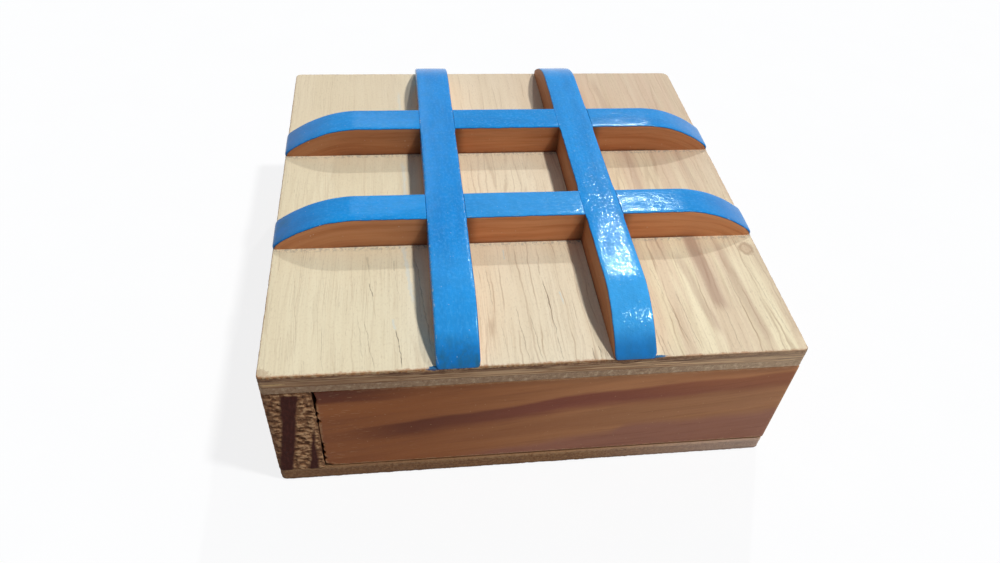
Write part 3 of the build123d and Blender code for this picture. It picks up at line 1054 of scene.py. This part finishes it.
def pineMaterial(name, node, lengthwise, inner):
    # varnished outside, bare inside, with cut ends
    look = pineBoards
    material, w = newMaterial(name)
    low, high = corners(node)
    place = w.place()
    x, y, z = w.apart(place)
    grain = w.together(y, x, z) if lengthwise else place
    axis, side = inner
    flat = (x, y, z)[axis]
    edge = high[axis] if side > 0 else low[axis]
    bare = w.step(w.size(w.minus(flat, edge)), 0.5, 0.2)
    pith = (0.0, low.x - 30.0, -25.0) if lengthwise else (0.0, -20.0, -40.0)
    rings = w.group(growthRings, Vector=grain, Pith=pith, Spacing=3.6, Wander=0.8)
    marks = w.group(fibres, Vector=grain, Streak=0.8, Line=1.4, Length=0.03)
    late = w.times(rings["Late"], 0.55)
    raw = w.mix(late, look["raw"], look["rawLate"])
    raw = w.lay(raw, paint(160, 118, 80), marks["Lines"], 0.4)
    brown = w.mix(late, look["brown"], look["brownLate"])
    brown = w.lay(brown, paint(140, 86, 54), w.step(marks["Streaks"], 0.45, 0.75), 0.5)
    brown = w.lay(brown, paint(84, 48, 32), marks["Pores"], 0.5)
    brown = w.lay(brown, paint(206, 160, 120), w.group(scratches, Vector=grain)["Marks"], 0.3)
    edges = nearEdge(w, place, low, high, 0.7)
    brown = w.lay(brown, look["wearPale"], edges, 0.35)
    colour = w.mix(bare, brown, raw)
    if node == "left_wall":
        # painted shade on the bare inner face near the front, inside the door's gap
        colour = w.lay(colour, look["gapShade"], bare, w.step(y, -54.0, -56.5))
    # cut ends
    lengthAxis = 1 if lengthwise else 0
    ahead = (x, y, z)[lengthAxis]
    cutDepth = 1.0 if node == "left_wall" else 0.36
    ends = w.most(w.step(ahead, high[lengthAxis] - 0.36, high[lengthAxis] - 0.16),
                  w.step(ahead, low[lengthAxis] + cutDepth, low[lengthAxis] + 0.7 * cutDepth))
    cut = w.group(endGrain, Vector=place, Scale=1.1)
    endTone = w.mix(w.times(rings["Late"], 0.45), look["cutEnd"], look["bandDark"])
    endTone = w.lay(endTone, look["cutEndDark"], cut["Pits"], 0.6)
    endTone = w.lay(endTone, paint(200, 164, 126), cut["Pale"], 0.5)
    if node == "left_wall":
        torn, band = w.kept("torn"), w.kept("band")
        fine = w.noise(place, 2.4, 4, 0.65)
        ragged = w.mix(w.step(fine, 0.35, 0.65), paint(124, 86, 58), paint(152, 110, 76))
        ragged = w.lay(ragged, paint(82, 50, 34), w.step(torn, 0.45, 0.85), 0.8)
        ragged = w.lay(ragged, paint(196, 154, 112), w.step(torn, 0.42, 0.16), 0.75)
        # painted shade towards the left corner of the torn end
        ragged = w.lay(ragged, paint(98, 66, 46), w.step(x, -56.4, -59.4), 0.55)
        smooth = w.step(w.noise(w.move(place, (2.0, 1, 0.5)), 1, 3), 0.4, 0.75)
        smooth = w.mix(smooth, look["bandDark"], paint(76, 37, 28))
        frontEnd = w.mix(band, ragged, smooth)
        endTone = w.lay(endTone, frontEnd, w.step(y, 0.0, -1.0))
    colour = w.lay(colour, endTone, ends)
    height = w.plus(w.times(rings["Late"], 0.04), w.times(marks["Streaks"], 0.06))
    height = w.between(ends, height, w.times(cut["Height"], 0.35))
    roughness = w.between(w.most(bare, ends), 0.42, 0.75)
    finishMaterial(w, colour, roughness, height, 0.08)
    return material


leftWall = {
    "radii": (1.2, 0.3, 0.4, 1.2),
    "sides": [(0.16, 0.16), (0.2, 5.0), (0.5, 0.8), (0.25, 5.0)],
    "rimEase": 0.25,
    "rows": 0.2,
    # the torn front end: how deep its pits are, the share of that in the dark bands, how far back
    # they run, how deep they are on the outer side, and how uneven the wall is behind them
    "tearDepth": 0.55,
    "bandDepth": 0.12,
    "tearReach": 3.0,
    "outerDepth": 0.12,
    "unevenness": 0.04,
    # how far it leans over the gap beside the front, and how deep the bites in that edge are
    "leanTop": 0.2,
    "leanFoot": 0.33,
    "closedLean": 0.42,
    "bite": 0.35,
    # where the torn fibres all but close the gap beside the front: height, half length
    "closed": ((17.9, 3.7), (6.0, 0.7), (23.9, 0.5), (26.3, 0.35)),
}


def closedShare(z):
    # 1 where the torn fibres all but close the gap beside the front
    ragged = 0.35 * noise.noise(Vector((z * 2.1, 3.0, 0.5)))
    return max(clamped((half - abs(z - level)) / 0.5 + 0.5 + ragged) for level, half in leftWall["closed"])


def makeLeftWall():
    look = leftWall
    low, high = corners("left_wall")
    marks = {"torn": [], "band": []}

    def tear(x, z):
        # 0 on the crests of the torn fibres, 1 in the pits
        coarse = noise.fractal(Vector((x * 0.7 + 0.35 * z, z * 1.0, 5.0)), 0.8, 2.1, 3)
        curl = noise.noise(Vector((x * 1.5 + 2 * coarse, z * 2.1, 9.0)))
        return clamped(0.42 + 0.75 * coarse + 0.4 * curl)

    def worn(x, y, z, outward):
        if y > low.y + look["tearReach"]:
            return -look["unevenness"] * dent(x, y * 0.1, z * 0.5)
        near = max(0.0, 1 - (y - low.y) / look["tearReach"])
        band = inEndBand(x, z)
        depth = tear(x, z) * (1 - band) + look["bandDepth"] * band
        if outward.y < -0.5:
            return -look["tearDepth"] * depth
        if outward.x > 0.5:
            bite = max(0.0, noise.noise(Vector((4.0, y * 0.8, z * 0.9)))) * look["bite"]
            lean = look["leanFoot"] + (look["leanTop"] - look["leanFoot"]) * (z - low.z) / (high.z - low.z)
            return (lean - bite + (look["closedLean"] - lean + bite) * closedShare(z)) * near
        return -look["outerDepth"] * depth * near

    points, faces, _ = wornBoard(low, high, look, worn)
    for x, y, z in points:
        marks["torn"].append(tear(x, z))
        marks["band"].append(inEndBand(x, z) if y < low.y + 4 else 0.0)
    finish = pineMaterial("leftWallPine", "left_wall", True, (0, 1))
    newPiece("leftWall", points, faces, [finish], "box", "wall_pine", ["left_wall"], marks=marks, sharp=50)


plainWall = {"sides": [(0.4, 2.5)] * 4, "rimEase": 0.3, "rows": 1.2, "unevenness": 0.05}

# radii of the corners, whether the board runs from front to back, and the axis and side of its bare face
plainWalls = {
    "right_wall": ("rightWall", (0.4, 0.4, 1.2, 0.4), True, (0, -1)),
    "back_wall": ("backWall", (0.4,) * 4, False, (1, -1)),
    "door_stop": ("doorStop", (0.5,) * 4, False, (0, -1)),
}


def makePlainWall(node, name, radii, lengthwise, inner):
    look = {**plainWall, "radii": radii}

    def sawn(x, y, z, outward):
        return -look["unevenness"] * dent(x * 0.4, y * 0.4, z * 0.6)

    points, faces, _ = wornBoard(*corners(node), look, sawn)
    finish = pineMaterial(name + "Pine", node, lengthwise, inner)
    newPiece(name, points, faces, [finish], "box", "wall_pine", [node])


makeLeftWall()
for wallNode, wallLook in plainWalls.items():
    makePlainWall(wallNode, *wallLook)
print("walls made")


frontDoor = {
    # the first corner is the one that a finger takes hold of
    "radii": (2.2, 0.6, 0.6, 0.6),
    "sides": [(0.4, 3.0)] * 3 + [(0.18, 0.18)],
    "rimEase": 0.4,
    "rimSteps": 7,
    # rings at the inner rim: how far in from the sides, and how far from the inner face
    "innerRim": ((0.25, 0.0), (0.07, 0.07), (0.0, 0.25)),
    "rows": 0.55,
    "droop": 0.12,  # how much lower it hangs than its solid
    "hingeRadius": 5.25,
    # light is the painted sheen on the door's right, warm its colour on the left
    "light": paint(184, 128, 84),
    "warm": paint(148, 87, 44),
    "dark": paint(88, 38, 22),
    "orange": paint(178, 110, 64),
    "maroon": paint(130, 70, 52),
    "dusk": paint(150, 98, 78),
    "pale": paint(214, 172, 128),
    "slant": 0.125,
    "upperBand": ((0.0, 30.9), (0.1, 31.0), (0.16, 31.6), (0.24, 33.4), (1.0, 36.5)),
    "middleBand": ((0.0, 15.1), (0.05, 15.4), (0.12, 16.4), (0.18, 17.6), (0.235, 18.7), (0.31, 19.8),
                   (0.39, 21.0), (0.455, 22.4), (0.51, 23.9), (0.585, 24.9), (0.66, 25.3), (0.74, 26.1),
                   (0.82, 26.9), (0.9, 27.5), (1.0, 28.8)),
    "lowerBand": ((0.0, 3.5), (0.27, 5.8), (0.38, 7.8), (0.47, 8.8), (0.52, 10.2), (0.58, 11.2),
                  (0.62, 11.7), (0.66, 14.4), (0.72, 14.8), (0.8, 14.7), (0.85, 15.6), (0.95, 16.4),
                  (1.0, 17.5)),
    # how far back the free end is bitten, how ragged it is, and how full its rim is where the gap is closed
    "biteReach": 4.0,
    "raggedness": 0.16,
    "closedRim": 0.75,
    # bites: height, half length, depth
    "bites": ((30.2, 1.7, 0.3), (25.2, 0.5, 0.3), (22.4, 0.6, 0.5), (13.5, 0.4, 0.45), (12.2, 0.5, 0.25),
              (9.8, 0.8, 0.4), (7.5, 0.6, 0.5), (4.8, 0.5, 0.3)),
}


def doorMaterial():
    look = frontDoor
    material, w = newMaterial("doorPine")
    low, high = corners("front_door")
    place = w.place()
    x, y, z = w.apart(place)
    share = w.spread(x, low.x, high.x)
    sway = w.ripple(2.4, w.move(place, (0.06, 0.02, 0.25)), 1, 3, 0.5)
    level = w.plus(z, sway)
    slanted = w.together(x, w.minus(z, w.times(x, look["slant"])), y)
    marks = w.group(fibres, Vector=slanted, Streak=0.45, Line=1.2, Length=0.022)
    broad = w.noise(w.move(slanted, (0.012, 0.16, 0.1)), 1, 3, 0.5)
    # paler towards the right: painted sheen on the varnish
    colour = w.mix(w.step(share, 0.1, 0.85), look["warm"], look["light"])
    colour = w.lay(colour, look["dark"], w.step(broad, 0.42, 0.62), 0.22)

    def band(spots, half, sharpUpper, sharpLower):
        line = w.drawn(share, spots, low.z - 4, high.z + 4)
        above = w.minus(level, line)
        return w.times(w.step(above, half + sharpUpper, half - sharpUpper),
                       w.step(above, -half - sharpLower, -half + sharpLower))

    upper = w.times(band(look["upperBand"], 2.5, 0.5, 0.9), w.step(share, 0.27, 0.02))
    strength = w.times(w.step(share, 0.02, 0.2, 0.35, 1.0), w.step(share, 0.6, 1.0, 1.0, 0.8))
    middle = w.times(band(look["middleBand"], 2.6, 0.7, 1.9), strength)
    # dark below the lowest line
    under = w.step(w.minus(level, w.drawn(share, look["lowerBand"], low.z - 4, high.z + 4)), 1.0, -2.4)
    under = w.times(under, w.step(share, 0.24, 0.4))
    colour = w.lay(colour, look["dark"], upper, 0.85)
    middleTone = w.mix(w.step(share, 0.15, 0.55), look["dark"], look["maroon"])
    colour = w.lay(colour, middleTone, middle, w.between(w.step(share, 0.2, 0.5), 0.8, 0.95))
    colour = w.lay(colour, look["dusk"], under, 0.85)
    warmed = w.times(w.step(level, 22.0, 30.0), w.step(share, 0.5, 0.9))
    colour = w.lay(colour, look["orange"], warmed, 0.4)
    colour = w.lay(colour, look["dark"], w.step(marks["Streaks"], 0.4, 0.75), 0.14)
    colour = w.lay(colour, paint(92, 50, 34), marks["Lines"], 0.2)
    nicks = w.group(scratches, Vector=place, Length=0.6, Thin=3.4, Amount=0.69)["Marks"]
    colour = w.lay(colour, look["pale"], nicks, w.step(share, 0.35, 0.0, 0.04, 0.2))
    dust = w.group(specks, Vector=place, Scale=0.9, Amount=0.16, Radius=0.2)["Specks"]
    colour = w.lay(colour, look["pale"], dust, 0.35)
    edges = nearEdge(w, place, low, high, 0.8)
    colour = w.lay(colour, look["pale"], edges, w.between(upper, 0.35, 0.0))
    height = w.plus(w.times(marks["Streaks"], 0.07), w.times(w.noise(place, 0.7, 3), 0.05))
    finishMaterial(w, colour, w.between(marks["Streaks"], 0.4, 0.55), height, 0.1)
    return material


def makeDoor():
    look = frontDoor
    low, high = corners("front_door")
    low.z -= look["droop"]
    hingeX, hingeY = high.x - look["hingeRadius"], low.y + look["hingeRadius"]

    def shaped(x, z, back, outward):
        # back is -y here: the sweep runs from the inner face to the front
        push, y = 0.0, -back
        if x > hingeX and y > hingeY:
            if outward.x <= 0.5:
                return 0.0
            room = math.sqrt(max(0.0004, look["hingeRadius"] ** 2 - (y - hingeY) ** 2))
            push = -(x - hingeX) * (1 - room / look["hingeRadius"])
        if outward.x < -0.5 and y < low.y + look["biteReach"]:
            near = max(0.0, 1 - (y - low.y) / look["biteReach"])
            for level, half, depth in look["bites"]:
                push -= near * depth * max(0.0, 1 - abs((z - level) / half) ** 3)
            closed = closedShare(z)
            push -= look["raggedness"] * near * (1 - closed) * dent(z * 1.4, y * 0.7, 1.0)
            push += look["closedRim"] * closed * max(0.0, min(look["rimEase"], x - low.x))
        return push

    outline = roundedOutline((low.x, low.z), (high.x, high.z), look["radii"], look["sides"])
    steps, rows = look["rimSteps"], look["rows"]
    turns = [math.pi / 2 * k / steps for k in range(steps + 1)]
    inner, rim = -high.y, -low.y - look["rimEase"]
    levels = [(inset, inner + height) for inset, height in look["innerRim"]]
    levels += [(0.0, inner + 0.5 + rows * k) for k in range(17) if inner + 0.6 + rows * k < rim]
    levels += [(look["rimEase"] * (1 - math.cos(t)), rim + look["rimEase"] * math.sin(t)) for t in turns]
    points, faces = sweptShell(outline, levels, shaped, lambda u, v, w: (u, -w, v))
    newPiece("frontDoor", points, faces, [doorMaterial()], "door", "varnished_pine", ["front_door"], sharp=40)


makeDoor()
print("door made")


bottomSheet = {
    "radii": (1.5,) * 4,
    "sides": [(0.4, 0.4)] + [(0.7, 0.7)] * 3,
    "rimEase": 0.45,
    "rows": 0.35,
    "roughness": 0.16,
}


def bottomMaterial():
    material, w = newMaterial("bottomPly")
    high = corners("bottom_panel")[1]
    place = w.place()
    x, y, z = w.apart(place)
    marks = w.group(fibres, Vector=place, Streak=0.5, Line=1.0, Length=0.02)
    fine = w.noise(place, 1.3, 4, 0.65)
    face = w.mix(w.step(marks["Streaks"], 0.36, 0.7), paint(186, 146, 104), paint(150, 108, 72))
    face = w.lay(face, paint(104, 70, 46), marks["Lines"], 0.5)
    face = w.lay(face, paint(100, 68, 46), marks["Pores"], 0.4)
    edge = w.mix(w.step(fine, 0.34, 0.66), paint(134, 92, 56), paint(168, 125, 82))
    layers = w.noise(w.move(place, (0.12, 0.12, 1.7)), 1, 3, 0.5)
    edge = w.lay(edge, paint(112, 77, 55), w.step(layers, 0.5, 0.68), 0.6)
    ends = w.group(endGrain, Vector=w.move(place, (1, 1, 2)), Scale=1.4)
    edge = w.lay(edge, paint(86, 58, 42), ends["Pits"], 0.45)
    edge = w.lay(edge, paint(202, 166, 124), ends["Pale"], 0.5)
    # painted highlight along the upper rim of the edge
    litTopRim = w.step(w.plus(z, w.times(w.plus(fine, -0.5), 2.4)), high.z - 1.0, high.z - 0.1)
    edge = w.lay(edge, paint(192, 154, 114), litTopRim, 0.45)
    edge = w.lay(edge, paint(206, 180, 162), w.step(x, 6.0, 60.0), 0.6)
    edge = w.lay(edge, paint(92, 60, 38), w.step(x, 40.0, -40.0), 0.42)
    # painted shade along the foot of the edge, where it meets the floor
    edge = w.lay(edge, paint(66, 44, 32), w.step(z, 1.1, 0.2), 0.6)
    out = w.most(w.step(w.size(x), high.x - 0.7, high.x - 0.4), w.step(w.size(y), high.y - 0.7, high.y - 0.4))
    colour = w.mix(out, face, edge)
    height = w.between(out, w.times(marks["Streaks"], 0.06), w.times(ends["Height"], 0.45))
    finishMaterial(w, colour, 0.66, height, 0.15)
    return material


def makeBottom():
    look = bottomSheet

    def worn(x, y, z, outward):
        fuzz = noise.fractal(Vector((x * 1.1, y * 1.1, z * 1.6)), 0.9, 2.0, 3)
        return min(0.0, -look["roughness"] * (0.5 + 0.6 * fuzz))

    points, faces, _ = wornBoard(*corners("bottom_panel"), look, worn, 8)
    newPiece("bottomSheet", points, faces, [bottomMaterial()], "box", "bottom_sheet", ["bottom_panel"])


makeBottom()
print("bottom made")


# carved is how uneven they are, and turns has how each of the five lies, in degrees
crossShape = {
    "span": 22.0, "arm": 5.6, "tip": 1.4, "rimEase": 0.55, "rows": 1.6, "carved": 0.06,
    "turns": (41.0, 52.0, 38.0, 47.0, 34.0),
}
noughtShape = {
    "radius": 10.0, "hole": 4.6, "rimEase": 0.7, "rows": 0.9, "around": 72, "carved": 0.05,
    "turns": (12.0, 75.0, 140.0, 33.0, 98.0),
}
markerColours = {
    "blue": paint(50, 142, 216),
    "deepBlue": paint(26, 106, 180),
    "wood": paint(222, 190, 146),
    "woodDark": paint(190, 148, 102),
}


def newTree(name, inputs):
    tree = bpy.data.node_groups.new(name, "GeometryNodeTree")
    tree.interface.new_socket(name="Geometry", in_out="OUTPUT", socket_type="NodeSocketGeometry")
    tree.interface.new_socket(name="Geometry", in_out="INPUT", socket_type="NodeSocketGeometry")
    for label, kind in inputs.items():
        tree.interface.new_socket(name=label, in_out="INPUT", socket_type="NodeSocket" + kind)
    return tree


def setInput(modifier, label, value):
    # inputs are set by their socket's identifier
    for item in modifier.node_group.interface.items_tree:
        if item.item_type == "SOCKET" and item.in_out == "INPUT" and item.name == label:
            modifier[item.identifier] = value


def placeOnPoints(tree, instance, finish, points):
    # copies the instance to every point, turned as the point says, as one mesh with its finish
    w = Wires(tree)
    turn = w.geometry("InputNamedAttribute", {"Name": "turn"}, data_type="FLOAT_VECTOR")
    turn = w.node("FunctionNodeEulerToRotation", {0: turn}).outputs[0]
    copies = w.geometry("InstanceOnPoints", {"Points": points, "Instance": instance, "Rotation": turn})
    numbered = {"Geometry": copies, "Name": "number", "Value": w.geometry("InputIndex", {})}
    copies = w.geometry("StoreNamedAttribute", numbered, data_type="FLOAT", domain="INSTANCE")
    copies = w.geometry("RealizeInstances", {0: copies})
    copies = w.geometry("SetMaterial", {"Geometry": copies, "Material": finish})
    w.node("NodeGroupOutput", {0: copies})


def copyTree():
    # one model, repeated on points
    tree = newTree("copiesOfAPiece", {"Model": "Object", "Finish": "Material"})
    given = tree.nodes.new("NodeGroupInput").outputs
    model = Wires(tree).node("GeometryNodeObjectInfo", {"Object": given["Model"]})
    placeOnPoints(tree, model.outputs["Geometry"], given["Finish"], given["Geometry"])
    return tree


def bradTree():
    # a flat wire brad with a low head, repeated on points
    sizes = ("Length", "Width", "Thickness", "Head Width", "Head Height")
    tree = newTree("brads", {**{label: "Float" for label in sizes}, "Finish": "Material"})
    given = tree.nodes.new("NodeGroupInput").outputs
    length, width, thickness, headWidth, headHeight = (given[label] for label in sizes)
    w = Wires(tree)

    def stood(part, tall, scale=(1.0, 1.0, 1.0)):
        # the part on the point, not halfway through it
        up = w.together(0, 0, w.times(tall, 0.5))
        return w.geometry("Transform", {"Geometry": part, "Translation": up, "Scale": scale})

    shank = w.geometry("MeshCube", {"Size": w.together(width, thickness, length)})
    head = {"Vertices": 24, "Radius": w.times(headWidth, 0.5), "Depth": headHeight}
    head = w.geometry("MeshCylinder", head)
    joined = tree.nodes.new("GeometryNodeJoinGeometry")
    for part in (stood(shank, length), stood(head, headHeight, (1.0, 0.62, 1.0))):
        tree.links.new(part, joined.inputs[0])
    placeOnPoints(tree, joined.outputs[0], given["Finish"], given["Geometry"])
    return tree


def repeated(name, tree, spots, turns, inputs, slot, replaced):
    # runs a tree over the spots (in millimetres) and keeps the result as a plain mesh on the box
    mesh = newMesh(name + "Points", spots, [])
    angles = [math.radians(a) for turn in turns for a in turn]
    mesh.attributes.new("turn", "FLOAT_VECTOR", "POINT").data.foreach_set("vector", angles)
    holder = addObject(name + "Points", mesh)
    modifier = holder.modifiers.new("copies", "NODES")
    modifier.node_group = tree
    for label, value in inputs.items():
        setInput(modifier, label, value)
    depsgraph = bpy.context.evaluated_depsgraph_get()
    result = bpy.data.meshes.new_from_object(holder.evaluated_get(depsgraph))
    holder.modifiers.remove(modifier)
    bpy.data.objects.remove(holder)
    result.name = name
    standAs(name, result, "box", slot, replaced)


def modelOf(points, faces, name):
    # a loose model that the copies are taken from; it keeps its own places for the finish
    mesh = newMesh(name, points, faces)
    places = [c for p in points for c in p]
    mesh.attributes.new("local", "FLOAT_VECTOR", "POINT").data.foreach_set("vector", places)
    faceOutwards(mesh)
    return addObject(name, mesh)


def crossOutline():
    look = crossShape
    half, arm, tip = look["span"] / 2, look["arm"] / 2, look["tip"]
    outline = []
    for quarter in range(4):
        turn = Matrix.Rotation(math.pi / 2 * quarter, 2)
        outline.append((turn @ Vector((arm, -arm)), turn @ Vector((1, -1))))
        for x in (0.35, 0.65):
            outline.append((turn @ Vector((arm + (half - tip - arm) * x, -arm)), turn @ Vector((0, -1))))
        for side in (-1, 1):
            for k in range(7):
                angle = math.pi / 2 * (k / 6 if side > 0 else k / 6 - 1)
                out = Vector((math.cos(angle), math.sin(angle)))
                outline.append((turn @ (Vector((half - tip, side * (arm - tip))) + out * tip), turn @ out))
        for x in (0.65, 0.35):
            outline.append((turn @ Vector((arm + (half - tip - arm) * x, arm)), turn @ Vector((0, 1))))
    return outline


def markerMaterial(name, painted):
    tone = markerColours
    material, w = newMaterial(name)
    local = w.add("Attribute", attribute_name="local").outputs["Vector"]
    number = w.times(w.kept("number"), 17.0)
    place = w.vectors("ADD", local, w.together(number, w.times(number, 0.37), number))
    marks = w.group(fibres, Vector=place, Streak=0.8, Line=1.5, Length=0.05)
    wood = w.mix(w.step(marks["Streaks"], 0.34, 0.7), tone["wood"], tone["woodDark"])
    wood = w.lay(wood, paint(150, 108, 70), marks["Lines"], 0.5)
    wood = w.lay(wood, paint(134, 94, 62), marks["Pores"], 0.4)
    height = w.plus(w.times(marks["Streaks"], 0.06), w.times(w.noise(place, 1.4, 3), 0.05))
    colour, roughness = wood, 0.55
    if painted:
        cloudy = w.noise(place, 0.3, 3)
        blue = w.mix(w.step(cloudy, 0.3, 0.7), tone["blue"], tone["deepBlue"])
        worn = w.step(w.noise(place, 0.8, 4, 0.7), 0.66, 0.7)
        colour = w.mix(worn, blue, wood)
        height = w.plus(height, w.times(w.noise(place, 1.1, 3, 0.6), 0.08))
        roughness = 0.36
    finishMaterial(w, colour, roughness, height)
    return material


def steelMaterial():
    material, w = newMaterial("brightSteel")
    place = w.place()
    drawn = w.noise(w.move(place, (6, 6, 0.6)), 1, 3, 0.6)
    colour = w.mix(w.step(drawn, 0.35, 0.7), paint(176, 176, 178), paint(128, 128, 130))
    rust = w.step(w.noise(place, 1.3, 4, 0.7), 0.62, 0.72)
    colour = w.lay(colour, paint(120, 84, 60), rust, 0.5)
    metal = w.between(rust, 1.0, 0.6)
    finishMaterial(w, colour, w.between(drawn, 0.25, 0.5), w.times(drawn, 0.03), Metallic=metal)
    return material


def makeMarkers():
    tree = copyTree()
    low, high = corners("cross_marker_1")
    tall = high.z - low.z
    levels = easedLevels(0.0, tall, crossShape["rimEase"], crossShape["rows"], 4)

    def carved(x, y, z, outward):
        return -crossShape["carved"] * dent(x * 0.5, y * 0.5, z * 0.5)

    points, faces = sweptShell(crossOutline(), levels, carved)
    cross = modelOf(points, faces, "crossModel")
    # the nought: a rounded section carried round a circle
    look = noughtShape
    radii, sides, around = (look["rimEase"],) * 4, [(look["rows"],) * 2] * 4, look["around"]
    section = roundedOutline((look["hole"], 0.0), (look["radius"], tall), radii, sides, 4)
    points = []
    for k in range(around):
        angle = 2 * math.pi * k / around
        for spot, _ in section:
            dip = look["carved"] * dent(math.cos(angle) * 3, math.sin(angle) * 3, spot.y * 0.4)
            reach = spot.x - dip
            points.append((reach * math.cos(angle), reach * math.sin(angle), spot.y))
    nought = modelOf(points, joinedRings(around, len(section), True), "noughtModel")
    kinds = (("cross", cross, crossShape, "blue_marker"), ("nought", nought, noughtShape, "plain_marker"))
    for kind, model, look, slot in kinds:
        names = [f"{kind}_marker_{n}" for n in range(1, 6)]
        boxes = [corners(n) for n in names]
        spots = [((lo.x + hi.x) / 2, (lo.y + hi.y) / 2, lo.z) for lo, hi in boxes]
        turns = [(0.0, 0.0, turn) for turn in look["turns"]]
        finish = markerMaterial(kind + "Finish", kind == "cross")
        repeated(kind + "Markers", tree, spots, turns, {"Model": model, "Finish": finish}, slot, names)
        bpy.data.objects.remove(model)


bradSizes = {"Width": 1.25, "Thickness": 1.0, "Head Width": 2.2, "Head Height": 0.6}
# lengths, and how far the brads stand from the walls' ends and from the rims
bradPlaces = {"bottomLength": 17.5, "cornerLength": 19.5, "fromEnds": 12.0, "fromRims": 8.0}


def makeBrads():
    look = bradPlaces
    tree = bradTree()
    steel = steelMaterial()
    high = corners("bottom_panel")[1]
    leftLow, leftHigh = corners("left_wall")
    rightLow, rightHigh = corners("right_wall")
    backLow, backHigh = corners("back_wall")
    spots = []
    for x, front in (((leftLow.x + leftHigh.x) / 2, leftLow.y), ((rightLow.x + rightHigh.x) / 2, rightLow.y)):
        first, last = front + look["fromEnds"], high.y - look["fromEnds"]
        spots += [(x, y, 0.0) for y in (first, (first + last) / 2, last)]
    for share in (0.25, 0.75):
        spots.append((backLow.x + share * (backHigh.x - backLow.x), (backLow.y + backHigh.y) / 2, 0.0))
    sizes = {"Finish": steel, **{label: value * mm for label, value in bradSizes.items()}}
    sizes["Length"] = look["bottomLength"] * mm
    repeated("bottomBrads", tree, spots, [(0, 0, 0)] * len(spots), sizes, "steel", ["bottom_brads"])
    spots, turns = [], []
    for z in (leftLow.z + look["fromRims"], leftHigh.z - look["fromRims"]):
        for x, turn in ((leftLow.x, 90), (rightHigh.x, -90)):
            spots.append((x, (backLow.y + backHigh.y) / 2, z))
            turns.append((0, turn, 0))
    sizes["Length"] = look["cornerLength"] * mm
    repeated("cornerBrads", tree, spots, turns, sizes, "steel", ["corner_brads"])
    for pin in ("door_pin_upper", "door_pin_lower"):
        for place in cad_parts[pin].material_slots:
            place.material = steel


makeMarkers()
makeBrads()
print("markers, brads and pins made")
